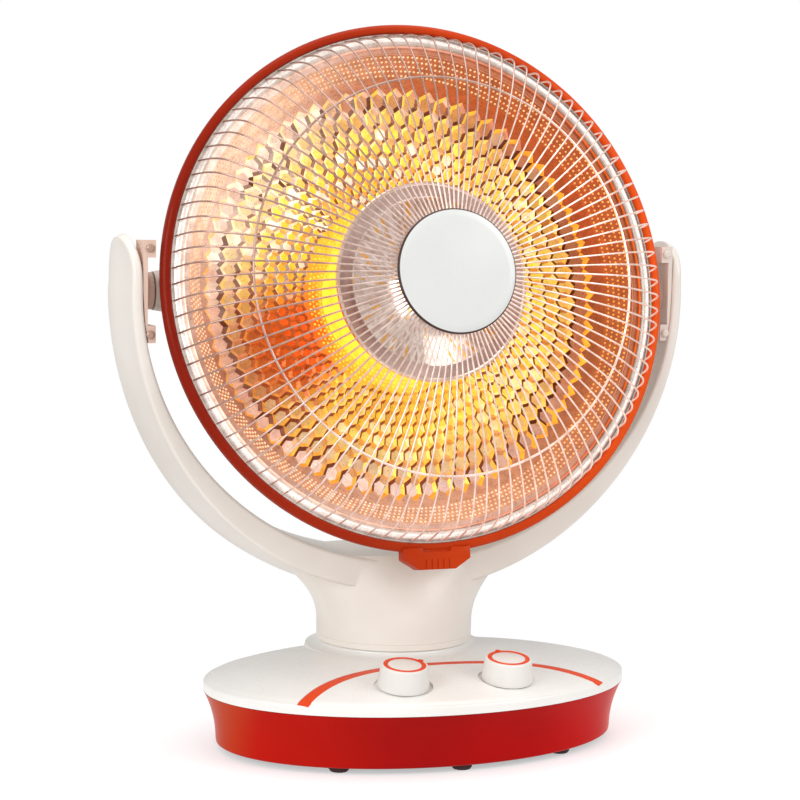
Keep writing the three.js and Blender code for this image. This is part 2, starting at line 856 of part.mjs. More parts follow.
function makeYoke() {
  const band = toSolid(skin(bandSections()));
  const neck = toSolid(skin(neckSections()));
  const roof = pivotHeight - yokeOuterDrop;
  const hollow = toSolid(rod(neckRadius - neckWall, neckBottom + neckFloor, roof, 28)).translate([0, neckSetback, 0]);
  const shaft = toSolid(rod(swivelTubeRadius + clearance, 0, roof, 20)).translate([0, neckSetback, 0]);
  const yoke = band.add(neck).subtract(hollow).subtract(shaft);
  return toGeometry(yoke.translate([0, -neckSetback, 0]));
}

function makeSwivelTube() {
  const floor = neckBottom + neckFloor + clearance;
  const inner = swivelTubeRadius - swivelTubeWall;
  const bottom = deckTop - deckThickness - swivelTubeBelow;
  return turned([
    [inner, bottom],
    [swivelTubeRadius, bottom],
    [swivelTubeRadius, floor],
    [swivelFlangeRadius, floor],
    [swivelFlangeRadius, floor + swivelFlangeThickness],
    [inner, floor + swivelFlangeThickness],
    [inner, bottom],
  ], 20);
}

function makeRetainer() {
  const top = deckTop - deckThickness - clearance;
  const hub = swivelTubeRadius + clearance;
  return turned(ringProfile(hub, retainerRadius, top - retainerThickness, top), 20);
}

function makeSwivelWasher() {
  const profile = ringProfile(swivelTubeRadius + 4, collarRadius - wall * 2, deckTop, deckTop + swivelWasherThickness);
  const geometry = turned(profile, 28);
  geometry.translate(0, neckSetback, 0);
  return geometry;
}

// Bracket for the left arm, facing +X from the arm's inner face; the right one is its mirror image.
function bracketSolid() {
  const front = yokeArmFront + bracketFrontInset - neckSetback;
  const middle = pivotSetback - neckSetback;
  const plateHeight = (bracketHalfHeight - bracketLugHeight) * 2;
  const plate = block(bracketPlate, bracketDepth, plateHeight, bracketPlate / 2, front + bracketDepth / 2, pivotHeight);
  const cone = turned([
    [0, 0],
    [bracketConeRadius, 0],
    [bracketConeRadius, bracketPlate * 0.6],
    [bracketHubRadius, bracketHubReach * 0.75],
    [bracketHubRadius, bracketHubReach],
    [0, bracketHubReach],
  ], 22);
  cone.rotateY(quarterTurn);
  cone.translate(0, middle, pivotHeight);
  let solid = toSolid(plate).add(toSolid(cone));
  for (const end of [-1, 1]) {
    const z = pivotHeight + end * (bracketHalfHeight - bracketLugHeight / 2 - clearance);
    const lugHeight = bracketLugHeight + clearance * 2;
    const lug = block(bracketLugReach, bracketDepth * 0.7, lugHeight, bracketLugReach / 2, front + bracketDepth * 0.35, z);
    solid = solid.add(toSolid(lug));
  }
  return solid;
}

// The space between the arms: straight above the pivot and elliptical below it.
function insideYoke() {
  const halfWidth = yokeInnerHalfWidth - clearance;
  const outline = new THREE.Shape();
  outline.moveTo(halfWidth, yokeTipRise);
  outline.lineTo(-halfWidth, yokeTipRise);
  outline.absellipse(0, 0, halfWidth, yokeInnerDrop - clearance, Math.PI, fullTurn, false);
  outline.closePath();
  const depth = yokeFootBack * 2;
  const geometry = new THREE.ExtrudeGeometry(outline, { depth, bevelEnabled: false, curveSegments: yokeSteps / 2 });
  geometry.rotateX(quarterTurn);
  geometry.translate(0, depth / 2, pivotHeight);
  return toSolid(geometry);
}

function pivotBore(radius, from, to) {
  const geometry = rod(radius, from, to, 14);
  geometry.rotateY(quarterTurn);
  geometry.translate(0, pivotSetback - neckSetback, pivotHeight);
  return toSolid(geometry);
}

function bracketLugFace() {
  const x = bracketLugReach * 0.56;
  const y = yokeArmFront + bracketFrontInset - neckSetback;
  return [-1, 1].map((end) => new THREE.Vector3(x, y, pivotHeight + end * (bracketHalfHeight - bracketLugHeight / 2)));
}

function bracketScrew(place) {
  const profile = [
    [0, -bracketScrewHead * 5],
    [bracketScrewRadius * 0.5, -bracketScrewHead * 5],
    [bracketScrewRadius * 0.5, clearance],
    [bracketScrewRadius, clearance],
    [bracketScrewRadius, clearance + bracketScrewHead * 0.6],
    [bracketScrewRadius * 0.6, clearance + bracketScrewHead],
    [0, clearance + bracketScrewHead],
  ];
  const geometry = turned(profile, 8);
  geometry.rotateX(quarterTurn);
  geometry.translate(place.x, place.y, place.z);
  return geometry;
}

function screwHole(place) {
  const geometry = rod(bracketScrewRadius * 0.5 + clearance, -bracketScrewHead * 5 - clearance, cutOverrun, 8);
  geometry.rotateX(quarterTurn);
  geometry.translate(place.x, place.y, place.z);
  return toSolid(geometry);
}

function pivotPin() {
  const reach = armInnerFace - bossFace + pinDepth;
  const profile = [
    [0, clearance],
    [pivotPinRadius, clearance],
    [pivotPinRadius, reach],
    [0, reach],
  ];
  const geometry = turned(profile, 14);
  geometry.rotateY(quarterTurn);
  geometry.translate(0, pivotSetback - neckSetback, pivotHeight);
  return geometry;
}

function mirroredX(geometry) {
  const flipped = geometry.clone();
  flipped.scale(-1, 1, 1);
  const order = flipped.index.array;
  for (let i = 0; i < order.length; i += 3) [order[i + 1], order[i + 2]] = [order[i + 2], order[i + 1]];
  flipped.computeVertexNormals();
  return flipped;
}

function onArm(geometry, side) {
  const place = geometry.clone();
  place.translate(-armInnerFace + clearance, 0, 0);
  return side < 0 ? place : mirroredX(place);
}

function buildYoke() {
  addPiece(swivel, "yoke", makeYoke(), whitePlastic);
  addPiece(swivel, "swivel_tube", makeSwivelTube(), steel);
  addPiece(swivel, "swivel_retainer", makeRetainer(), steel);
  addPiece(heater, "swivel_washer", makeSwivelWasher(), nylon);
  let bracket = bracketSolid().subtract(pivotBore(pivotPinRadius + clearance, -clearance, bracketHubReach * 2));
  for (const place of bracketLugFace()) bracket = bracket.subtract(screwHole(place));
  const armSide = -armInnerFace + clearance;
  const room = insideYoke().translate([-armSide, 0, 0]);
  const bracketShape = toGeometry(bracket.intersect(room));
  for (const [side, name] of [[-1, "left"], [1, "right"]]) {
    addPiece(swivel, `pivot_bracket_${name}`, onArm(bracketShape, side), bracketPlastic);
    addPiece(swivel, `pivot_pin_${name}`, onArm(pivotPin(), side), steel);
    bracketLugFace().forEach((place, index) => {
      const level = index === 0 ? "lower" : "upper";
      addPiece(swivel, `bracket_screw_${name}_${level}`, onArm(bracketScrew(place), side), steel);
    });
  }
}

// Head

function makeRimRing() {
  const ring = headTurned([
    [rimInnerRadius, -rimWall],
    [rimInnerRadius, rimFloor],
    [rimGrooveRadius, rimFloor],
    [rimGrooveRadius, rimCrest],
    [rimCrestRadius, rimCrest],
    [rimShoulderRadius, rimShoulder],
    [rimOuterRadius, rimSideFront],
    [rimOuterRadius, -rimSideBack],
    [rimOuterRadius - rimWall, -rimSideBack],
    [rimOuterRadius - rimWall, -rimWall],
    [rimInnerRadius, -rimWall],
  ]);
  return toGeometry(toSolid(ring).subtract(clipSolid(clearance)));
}

// The clip is drawn below the axis in the plane of the rim and given its depth along the axis.
function clipSolid(margin) {
  const outline = new THREE.Shape();
  outline.moveTo(-clipHalfTop - margin, -clipTopRadius + margin);
  outline.lineTo(-clipHalfTop - margin, -clipStepRadius - margin);
  outline.lineTo(-clipHalfBottom - margin, -clipBottomRadius - margin);
  outline.lineTo(clipHalfBottom + margin, -clipBottomRadius - margin);
  outline.lineTo(clipHalfTop + margin, -clipStepRadius - margin);
  outline.lineTo(clipHalfTop + margin, -clipTopRadius + margin);
  outline.closePath();
  const depth = clipFront + clipBack + margin * 2;
  const geometry = new THREE.ExtrudeGeometry(outline, { depth, bevelEnabled: false });
  geometry.translate(0, 0, -clipBack - margin);
  geometry.rotateX(quarterTurn);
  geometry.translate(0, -rimReach, 0);
  return toSolid(geometry);
}

function makeClip() {
  let clip = clipSolid(0).subtract(toSolid(headTurned(ringProfile(0, housingFrontRadius + clearance, -rimReach, -rimWall))));
  const front = -rimReach - clipFront;
  const ribHeight = clipBottomRadius - clipStepRadius;
  for (let rib = 0; rib < clipRibs; rib += 1) {
    const x = (rib - (clipRibs - 1) / 2) * clipRibPitch;
    clip = clip.subtract(toSolid(block(clipRibWidth, clipRibDepth * 2, ribHeight * 2, x, front, -clipBottomRadius)));
  }
  const notch = block(clipNotchHalf * 2, clipNotchDepth * 2, clipNotchDepth * 2, 0, front, -clipTopRadius);
  return toGeometry(clip.subtract(toSolid(notch)));
}

function makeBand() {
  const middle = (bandOuterRadius + bandInnerRadius) / 2;
  return headTurned([
    [bandInnerRadius, bandBack],
    [bandOuterRadius, bandBack],
    [bandOuterRadius, bandEdge],
    [middle, bandCrest],
    [bandInnerRadius, bandEdge],
    [bandInnerRadius, bandBack],
  ]);
}

// Reflector: one sheet with a flange, a honeycomb of pushed-in cells and a plain middle.
// A point of the bowl lies at a radius, an angle and a push outwards along the surface normal.
function bowlPoint(radius, angle, push, back) {
  const slope = radius / (2 * bowlFocus);
  const stretch = Math.hypot(1, slope);
  const out = push + (back ? sheet : 0);
  const reach = (radius * radius - bowlRimRadius * bowlRimRadius) / (4 * bowlFocus) + bandBack - clearance;
  const wide = radius + (out * slope) / stretch;
  return new THREE.Vector3(Math.cos(angle) * wide, Math.sin(angle) * wide, reach - out / stretch);
}

const halfCell = Math.PI / dimplesRound;
const cellRise = (halfCell * 2) / Math.sqrt(3);

// Cells keep their shape because their rows stand at even steps of the logarithm of the radius.
function cellRadius(level) {
  return honeycombOuterRadius * Math.exp(-cellRise * level);
}

function circlePoints(count, radius, push, back, offset = 0) {
  return Array.from({ length: count }, (_, i) => bowlPoint(radius, (i / count) * fullTurn + offset, push, back));
}

class Sheet {
  constructor() {
    this.points = [];
    this.faces = [];
  }

  ring(points) {
    const first = this.points.length;
    this.points.push(...points);
    return points.map((_, i) => first + i);
  }

  face(a, b, c, flip) {
    this.faces.push(...(flip ? [a, c, b] : [a, b, c]));
  }

  // A strip between an outer and an inner ring of the same count
  strip(outer, inner, flip) {
    outer.forEach((a, i) => {
      const b = outer[(i + 1) % outer.length];
      const c = inner[(i + 1) % inner.length];
      this.face(a, b, c, flip);
      this.face(a, c, inner[i], flip);
    });
  }

  // A strip from a ring to one with half its points
  halve(outer, inner, flip) {
    inner.forEach((c, i) => {
      const d = inner[(i + 1) % inner.length];
      const [p, q, r] = [outer[2 * i], outer[2 * i + 1], outer[(2 * i + 2) % outer.length]];
      this.face(p, q, c, flip);
      this.face(q, d, c, flip);
      this.face(q, r, d, flip);
    });
  }

  geometry() {
    const geometry = new THREE.BufferGeometry();
    const flat = this.points.flatMap((point) => [point.x, point.y, point.z]);
    geometry.setAttribute("position", new THREE.Float32BufferAttribute(flat, 3));
    geometry.setIndex(this.faces);
    return geometry;
  }
}

// Rings of corners: peaks and valleys alternate round each border between two rows of cells.
function cornerRings(sheetMesh, back) {
  return Array.from({ length: dimpleRows + 1 }, (_, row) => {
    const offset = row % 2 === 0 ? 0 : halfCell;
    const level = row * 1.5;
    const peaks = circlePoints(dimplesRound, cellRadius(level), 0, back, offset);
    const valleys = circlePoints(dimplesRound, cellRadius(level + 0.5), 0, back, offset + halfCell);
    return { peaks: sheetMesh.ring(peaks), valleys: sheetMesh.ring(valleys), offset };
  });
}

function addCells(sheetMesh, corners, back) {
  for (let row = 0; row < dimpleRows; row += 1) {
    const upper = corners[row];
    const lower = corners[row + 1];
    const shift = row % 2;
    const centres = circlePoints(dimplesRound, cellRadius(row * 1.5 + 1), dimpleDepth, back, upper.offset);
    sheetMesh.ring(centres).forEach((centre, i) => {
      const before = (i + dimplesRound - 1) % dimplesRound;
      const low = (i + shift) % dimplesRound;
      const lowBefore = (low + dimplesRound - 1) % dimplesRound;
      const loop = [upper.peaks[i], upper.valleys[before], lower.peaks[lowBefore]];
      loop.push(lower.valleys[lowBefore], lower.peaks[low], upper.valleys[i]);
      loop.forEach((corner, k) => sheetMesh.face(centre, loop[(k + 1) % loop.length], corner, back));
    });
  }
}

function zigzag({ peaks, valleys }) {
  return peaks.flatMap((peak, i) => [peak, valleys[i]]);
}

function flangePoints(radius, back) {
  const reach = bandBack - clearance - (back ? sheet : 0);
  const count = dimplesRound * 2;
  return Array.from({ length: count }, (_, i) => {
    const angle = (i / count) * fullTurn;
    return new THREE.Vector3(Math.cos(angle) * radius, Math.sin(angle) * radius, reach);
  });
}

function addSide(sheetMesh, back) {
  const flange = sheetMesh.ring(flangePoints(bandOuterRadius, back));
  const rim = sheetMesh.ring(circlePoints(dimplesRound * 2, bowlRimRadius, 0, back));
  const corners = cornerRings(sheetMesh, back);
  const last = corners[dimpleRows];
  const plain = sheetMesh.ring(circlePoints(dimplesRound, plainRingRadius, 0, back, last.offset));
  const hole = sheetMesh.ring(circlePoints(dimplesRound, bowlHoleRadius, 0, back, last.offset));
  sheetMesh.strip(flange, rim, back);
  sheetMesh.strip(rim, zigzag(corners[0]), back);
  addCells(sheetMesh, corners, back);
  sheetMesh.halve(zigzag(last), plain, back);
  sheetMesh.strip(plain, hole, back);
  return { flange, hole };
}

function makeReflector() {
  const sheetMesh = new Sheet();
  const rear = addSide(sheetMesh, true);
  const front = addSide(sheetMesh, false);
  sheetMesh.strip(front.flange, rear.flange, true);
  sheetMesh.strip(front.hole, rear.hole, false);
  return facingFront(sheetMesh.geometry());
}

// Wire guard: every wire runs from the hub ring over the brow, round the bend and back to the foot ring.
function wireSolid() {
  const path = [
    [guardHubRadius, guardHubReach],
    [hoopRadius, hoopReach + hoopSpacing],
    [guardBrowRadius, guardBrowReach],
    [guardBendRadius, guardBendReach],
    [guardFootRadius, guardFootReach],
  ];
  const rings = path.map(([radius, reach], i) => {
    const [r0, z0] = path[Math.max(0, i - 1)];
    const [r1, z1] = path[Math.min(path.length - 1, i + 1)];
    const length = Math.hypot(r1 - r0, z1 - z0);
    const across = new THREE.Vector3(-(z1 - z0) / length, 0, (r1 - r0) / length);
    return [quarterTurn, quarterTurn + fullTurn / 3, quarterTurn - fullTurn / 3].map((angle) => {
      const side = Math.cos(angle) * wireRadius;
      const up = Math.sin(angle) * wireRadius;
      return new THREE.Vector3(radius + across.x * up, side, reach + across.z * up);
    });
  });
  return toSolid(skin(rings));
}

function torusProfile(radius, reach, thickness, sides) {
  const points = Array.from({ length: sides }, (_, i) => {
    const angle = (i / sides) * fullTurn + quarterTurn / 2;
    return [radius + Math.cos(angle) * thickness, reach + Math.sin(angle) * thickness];
  });
  return [...points, points[0]];
}

function makeGuard() {
  const wire = wireSolid();
  const parts = [toSolid(turned(torusProfile(guardFootRadius, guardFootReach, guardRingRadius, 3), wireCount / 2))];
  for (let i = 0; i < wireCount; i += 1) parts.push(wire.rotate([0, 0, (i / wireCount) * 360]));
  return facingFront(toGeometry(wasm.Manifold.union(parts)));
}

function makeHoop() {
  return headTurned(torusProfile(hoopRadius, hoopReach, hoopWireRadius, 4), wireCount / 2);
}

function makeBadge() {
  const bottom = guardClampFace;
  const top = bottom + badgeThickness;
  return headTurned([
    [0, bottom],
    [badgeRadius - badgeEdge, bottom],
    [badgeRadius, bottom + badgeEdge],
    [badgeRadius, top - badgeCrown - badgeEdge],
    [badgeRadius - badgeEdge * 2, top - badgeCrown],
    [badgeRadius * 0.6, top - badgeCrown * 0.4],
    [0, top],
  ], 40);
}

function makeClampDisc() {
  const plug = guardHubRadius - wireRadius - clearance;
  const shelf = guardHubReach - wireRadius - clearance;
  return headTurned([
    [0, shelf - clampThickness],
    [guardHubRadius + clampLip, shelf - clampThickness],
    [guardHubRadius + clampLip, shelf],
    [plug, shelf],
    [plug, guardClampFace - clearance],
    [0, guardClampFace - clearance],
  ], 28);
}

function capRing(radius, reach) {
  return Array.from({ length: capFacets }, (_, i) => {
    const angle = (i / capFacets) * fullTurn;
    return new THREE.Vector3(Math.cos(angle) * radius, Math.sin(angle) * radius, reach);
  });
}

// Secondary reflector: a raised lip, a flat band and a faceted bowl, all one sheet.
function makeCap() {
  const floor = capReach - capDepth;
  const front = [capRing(capLipRadius - capLipWidth * 0.4, capReach + sheet)];
  front.push(capRing(capLipRadius - capLipWidth, capReach));
  front.push(capRing(capBandRadius, capReach));
  for (let row = 1; row <= capRows; row += 1) {
    const share = 1 - row / capRows;
    front.push(capRing(capBandRadius * Math.max(share, 0.08), floor + capDepth * share * share));
  }
  const back = [capRing(capLipRadius, capReach - capLipDrop), capRing(capLipRadius - sheet, capReach - capLipDrop)];
  back.push(capRing(capLipRadius - capLipWidth, capReach - sheet));
  back.push(capRing(capBandRadius - sheet, capReach - sheet));
  for (let row = 1; row <= capRows; row += 1) {
    const share = 1 - row / capRows;
    back.push(capRing((capBandRadius - sheet) * Math.max(share, 0.08), floor + capDepth * share * share - sheet * 1.3));
  }
  const geometry = skin([...back.slice(1).reverse(), back[0], ...front]);
  return facingFront(geometry);
}

function capUnderside() {
  return capReach - capDepth - sheet * 1.3;
}

function bowlVertex() {
  return bowlPoint(bowlHoleRadius, 0, 0, false).z;
}

function coreSpan() {
  return { bottom: bowlVertex() + socketRise + clearance, top: capUnderside() - clearance };
}

function coreRadiusAt(height) {
  const { bottom, top } = coreSpan();
  return coreBaseRadius + ((coreTopRadius - coreBaseRadius) * (height - bottom)) / (top - bottom);
}

function makeCore() {
  const { bottom, top } = coreSpan();
  return headTurned([
    [0, bottom],
    [coreBaseRadius, bottom],
    [coreTopRadius, top],
    [0, top],
  ], 16);
}

// Heating coil: one unbroken wire wound down the cone of the core.
function makeCoil() {
  const bottom = coreSpan().bottom + coilMargin;
  const top = coreSpan().top - coilMargin;
  const steps = coilTurns * coilTurnSteps;
  const spacing = coilClearance + coilWireRadius;
  const chordShare = Math.cos(Math.PI / coilTurnSteps);
  const pathPoint = (share) => {
    const height = bottom + (top - bottom) * share;
    const radius = (coreRadiusAt(height) + spacing) / chordShare;
    const angle = share * coilTurns * fullTurn;
    return new THREE.Vector3(Math.cos(angle) * radius, Math.sin(angle) * radius, height);
  };
  const points = Array.from({ length: steps + 1 }, (_, i) => pathPoint(i / steps));
  const rings = points.map((point, i) => {
    const ahead = new THREE.Vector3().subVectors(points[Math.min(steps, i + 1)], points[Math.max(0, i - 1)]).normalize();
    const out = new THREE.Vector3(point.x, point.y, 0).normalize();
    const side = new THREE.Vector3().crossVectors(ahead, out).normalize();
    return Array.from({ length: coilWireSides }, (_, k) => {
      const angle = (k / coilWireSides) * fullTurn;
      const away = out.clone().multiplyScalar(Math.cos(angle) * coilWireRadius);
      return point.clone().add(away).addScaledVector(side, Math.sin(angle) * coilWireRadius);
    });
  });
  const pitch = (top - bottom) / coilTurns;
  console.log(`heating coil: least gap between its turns ${(pitch - coilWireRadius * 2).toFixed(2)} mm`);
  return facingFront(skin(rings));
}

function makeSocket() {
  const vertex = bowlVertex();
  const floor = housingBackReach + wall + clearance;
  const shelf = vertex - sheet * 1.3 - clearance * 2;
  return headTurned([
    [0, floor],
    [socketStemRadius, floor],
    [socketStemRadius, shelf - socketFlangeThickness],
    [socketFlange, shelf - socketFlangeThickness],
    [socketFlange, shelf],
    [socketRadius, shelf],
    [socketRadius, vertex + socketRise - clearance],
    [socketRadius - clearance * 4, vertex + socketRise],
    [0, vertex + socketRise],
  ], 20);
}

function housingProfile(inset) {
  const front = -rimWall - clearance;
  return [
    [housingSideRadius - inset, front - wall],
    [(housingSideRadius * 2 + housingShoulderRadius) / 3 - inset, front - wall + housingShoulderReach * 0.45],
    [housingShoulderRadius - inset, housingShoulderReach],
    [(housingShoulderRadius + housingBackRadius) / 2 - inset * 0.8, (housingShoulderReach + housingBackReach * 1.4) / 2.2],
    [housingBackRadius - inset * 0.4, housingBackReach + inset],
  ];
}

function makeHousing() {
  const front = -rimWall - clearance;
  const outside = housingProfile(0);
  const inside = housingProfile(wall).reverse();
  const shell = headTurned([
    [0, housingBackReach + wall],
    ...inside,
    [housingLedgeRadius, front - wall],
    [housingLedgeRadius, front],
    [housingFrontRadius, front],
    [housingFrontRadius, front - wall],
    ...outside,
    [0, housingBackReach],
  ], housingSteps);
  let housing = toSolid(shell);
  const core = toSolid(headTurned([[0, housingBackReach + wall], ...inside, [0, front - wall]], housingSteps));
  for (const side of [-1, 1]) {
    housing = housing.add(toSolid(bossGeometry(side)).subtract(core));
    housing = housing.subtract(pinBore(side));
  }
  for (let i = 0; i < ventSlots; i += 1) {
    const length = ventOuterRadius - ventInnerRadius;
    const slot = block(length, wall * 4, ventSlotWidth, (ventInnerRadius + ventOuterRadius) / 2, 0, 0);
    slot.rotateY((i / ventSlots) * fullTurn);
    slot.translate(0, -rimReach - housingBackReach - wall / 2, 0);
    housing = housing.subtract(toSolid(slot));
  }
  return toGeometry(housing);
}

function bossGeometry(side) {
  const geometry = turned([[0, bossRoot], [bossRadius + bossDraft, bossRoot], [bossRadius, bossFace], [0, bossFace]], 20);
  geometry.rotateY(side * quarterTurn);
  return geometry;
}

function pinBore(side) {
  const geometry = rod(pivotPinRadius + clearance, bossFace - pinDepth - pinBoreMargin, bossFace + cutOverrun, 14);
  geometry.rotateY(side * quarterTurn);
  return toSolid(geometry);
}

function makeRearCover() {
  const face = housingBackReach - clearance;
  return headTurned([
    [0, face - rearCoverDepth],
    [rearCoverRadius * 0.86, face - rearCoverDepth],
    [rearCoverRadius * 0.97, face - rearCoverDepth * 0.7],
    [rearCoverRadius, face - rearCoverDepth * 0.2],
    [rearCoverRadius, face],
    [0, face],
  ], 32);
}

function buildHead() {
  addPiece(head, "rear_housing", makeHousing(), whitePlastic);
  addPiece(head, "rear_cover", makeRearCover(), whitePlastic);
  addPiece(head, "rim_ring", makeRimRing(), orangePlastic);
  addPiece(head, "guard_clip", makeClip(), orangePlastic);
  addPiece(head, "polished_band", makeBand(), chrome);
  addPiece(head, "reflector", makeReflector(), warmChrome);
  addPiece(head, "wire_guard", makeGuard(), chrome);
  addPiece(head, "guard_hoop", makeHoop(), chrome);
  addPiece(head, "hub_badge", makeBadge(), whitePlastic);
  addPiece(head, "hub_clamp", makeClampDisc(), whitePlastic);
  addPiece(head, "cap_reflector", makeCap(), warmChrome);
  addPiece(head, "element_core", makeCore(), ceramic);
  addPiece(head, "heating_coil", makeCoil(), glowingWire);
  addPiece(head, "element_socket", makeSocket(), ceramic);
}

buildBase();
buildKnobs();
buildElectrics();
buildYoke();
buildHead();
console.log("pieces:", heater.getObjectsByProperty("isMesh", true).length);

export default heater;
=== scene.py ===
# %% [markdown]
# Parabolic dish heater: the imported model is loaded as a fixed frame, and every visible
# piece is then rebuilt finer around it, in metres, in the same place.

# %% Load the frame
import math
import random

import bmesh
import bpy
from mathutils import Matrix, Vector


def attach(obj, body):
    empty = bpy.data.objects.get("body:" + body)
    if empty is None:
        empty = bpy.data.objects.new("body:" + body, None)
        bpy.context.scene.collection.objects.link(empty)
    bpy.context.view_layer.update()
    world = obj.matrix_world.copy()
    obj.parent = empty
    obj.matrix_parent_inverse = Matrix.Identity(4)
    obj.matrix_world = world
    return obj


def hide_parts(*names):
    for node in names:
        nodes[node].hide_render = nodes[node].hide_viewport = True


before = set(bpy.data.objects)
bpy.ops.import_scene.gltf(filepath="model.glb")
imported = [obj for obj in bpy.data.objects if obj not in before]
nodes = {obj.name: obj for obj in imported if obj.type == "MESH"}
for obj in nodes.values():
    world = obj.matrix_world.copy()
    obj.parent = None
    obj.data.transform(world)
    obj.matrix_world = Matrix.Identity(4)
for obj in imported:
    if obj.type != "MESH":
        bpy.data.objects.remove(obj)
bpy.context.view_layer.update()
scene = bpy.context.scene

# %% [markdown]
# The camera stands where the photographer's stood: low, in front and a little to the left.
# Its place and its three directions were worked out from the rim, the hub and the base.

# %% Camera
camera_place = Vector((-0.4826, -1.2615, 0.3470))
camera_right = Vector((0.93802, -0.34631, 0.01376))
camera_up = Vector((0.01511, 0.08052, 0.99664))
camera_lens = 87.84

camera_data = bpy.data.cameras.new("camera")
camera_data.lens = camera_lens
camera_data.sensor_width = 36
camera = bpy.data.objects.new("camera", camera_data)
scene.collection.objects.link(camera)
camera_right.normalize()
camera_back = camera_right.cross(camera_up).normalized()
camera_up = camera_back.cross(camera_right)
turn = Matrix((camera_right, camera_up, camera_back)).transposed().to_4x4()
camera.matrix_world = Matrix.Translation(camera_place) @ turn
scene.camera = camera
scene.render.resolution_x = 800
scene.render.resolution_y = 800
scene.view_settings.view_transform = "Standard"
print("camera", [round(v, 3) for v in camera.location])

# %% [markdown]
# The main sizes are in metres, and the origin lies on the floor under the middle of the
# oval base. Base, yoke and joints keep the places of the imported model. Smaller sizes stand
# with the piece that needs them, and profiles there are in millimetres.

# %% Sizes
mm = 0.001
base_half_width = 151.7 * mm
base_half_depth = 104.7 * mm
foot_height = 4 * mm
skirt_top = 40.4 * mm
skirt_inset = 8.7 * mm
skirt_power = 2.2
rim_top = 47.2 * mm
rim_rounding = 1.6 * mm
dome_rise = 11.5 * mm
dome_power = 4
neck_setback = 48 * mm
neck_radius = 56 * mm
collar_radius = 55 * mm
collar_flare = 9 * mm
swivel_seam = 62.2 * mm
arc_radius = 154.6 * mm
arc_apex = -31 * mm
arc_half_chord = 107 * mm
arc_width = 8 * mm
knob_spacing = 74.4 * mm
knob_setback = -73.1 * mm
knob_tilt = math.radians(8)
knob_recess = 1.4 * mm
pivot = Vector((0, 28 * mm, 312 * mm))
head_tilt = math.radians(10)
rim_reach = 26.9 * mm
tau = math.tau

# %% [markdown]
# Small mesh builders do most of the work: a profile turned about an axis, as on a lathe,
# and a stack of rings skinned into one solid. Both keep full control of where each edge
# lies, and booleans then add or cut what crosses them.

# %% Mesh builders
def make_object(name, points, faces, material, sharp=32, place=None):
    mesh = bpy.data.meshes.new(name)
    mesh.from_pydata([tuple(p) for p in points], [], faces)
    shell = bmesh.new()
    shell.from_mesh(mesh)
    bmesh.ops.recalc_face_normals(shell, faces=shell.faces)
    shell.to_mesh(mesh)
    shell.free()
    if place is not None:
        mesh.transform(place)
    mesh.materials.append(material)
    finish_shading(mesh, sharp)
    piece = bpy.data.objects.new(name, mesh)
    scene.collection.objects.link(piece)
    return piece


def finish_shading(mesh, sharp):
    mesh.polygons.foreach_set("use_smooth", [True] * len(mesh.polygons))
    mesh.set_sharp_from_angle(angle=math.radians(sharp))
    mesh.update()


def circle(steps):
    turns = [i / steps * tau for i in range(steps)]
    return [(math.cos(turn), math.sin(turn)) for turn in turns]


def quarter(steps):
    turns = [k / steps * tau / 4 for k in range(steps + 1)]
    return [(math.cos(turn), math.sin(turn)) for turn in turns]


def turned(profile, steps):
    points, rings, faces = [], [], []
    for radius, height in profile:
        count = 1 if radius < 1e-7 else steps
        rings.append(range(len(points), len(points) + count))
        points += [(radius * c, radius * s, height) for c, s in circle(count)]
    pairs = list(zip(rings, rings[1:]))
    if len(rings[0]) > 1:
        pairs.append((rings[-1], rings[0]))
    for low, high in pairs:
        for i in range(steps):
            j = (i + 1) % steps
            face = [low[i % len(low)], low[j % len(low)], high[j % len(high)], high[i % len(high)]]
            corners = tuple(dict.fromkeys(face))
            if len(corners) > 2:
                faces.append(corners)
    return points, faces


def solid(name, rings, material, place=None, sharp=32, looped=False):
    count = len(rings[0])
    points = [p for ring in rings for p in ring]
    faces = []
    last = len(rings) if looped else len(rings) - 1
    for k in range(last):
        n = (k + 1) % len(rings)
        for i in range(count):
            j = (i + 1) % count
            faces.append((k * count + i, k * count + j, n * count + j, n * count + i))
    if not looped:
        faces.append(tuple(reversed(range(count))))
        faces.append(tuple(range(len(points) - count, len(points))))
    return make_object(name, points, faces, material, sharp, place)


def prism(outline, low, high):
    return [[(x * mm, y * mm, z * mm) for x, y in outline] for z in (low, high)]


def oval(half_width, half_depth, height, steps=192, setback=0):
    return [(half_width * c, half_depth * s + setback, height) for c, s in circle(steps)]


def cut(target, cutters, operation="DIFFERENCE"):
    for cutter in cutters:
        modifier = target.modifiers.new("cut", "BOOLEAN")
        modifier.operation = operation
        modifier.solver = "EXACT"
        modifier.object = cutter
        apply_modifiers(target)
        bpy.data.objects.remove(cutter)
    return target


def apply_modifiers(piece, sharp=32):
    graph = bpy.context.evaluated_depsgraph_get()
    mesh = bpy.data.meshes.new_from_object(piece.evaluated_get(graph))
    piece.modifiers.clear()
    piece.data = mesh
    finish_shading(mesh, sharp)
    return piece


head_place = Matrix.Translation(pivot) @ Matrix.Rotation(-head_tilt, 4, "X")
front_place = head_place @ Matrix.Translation((0, -rim_reach, 0)) @ Matrix.Rotation(tau / 4, 4, "X")
neck_place = Matrix.Translation((0, neck_setback, 0))


def lathe(name, profile, material, place, steps=256, sharp=32):
    points, faces = turned([(radius * mm, height * mm) for radius, height in profile], steps)
    return make_object(name, points, faces, material, sharp, place)


# %% [markdown]
# Each finish is a node material on object coordinates, so its pattern stays on the piece
# when it moves. A shared helper lays a broad change of tone, a fine grain in the roughness
# and a small bump over every moulded surface, because plain plastic is never quite even.

# %% Material helpers
def linear(code):
    values = [int(code[i : i + 2], 16) / 255 for i in (0, 2, 4)]
    return [v / 12.92 if v <= 0.04045 else ((v + 0.055) / 1.055) ** 2.4 for v in values] + [1]


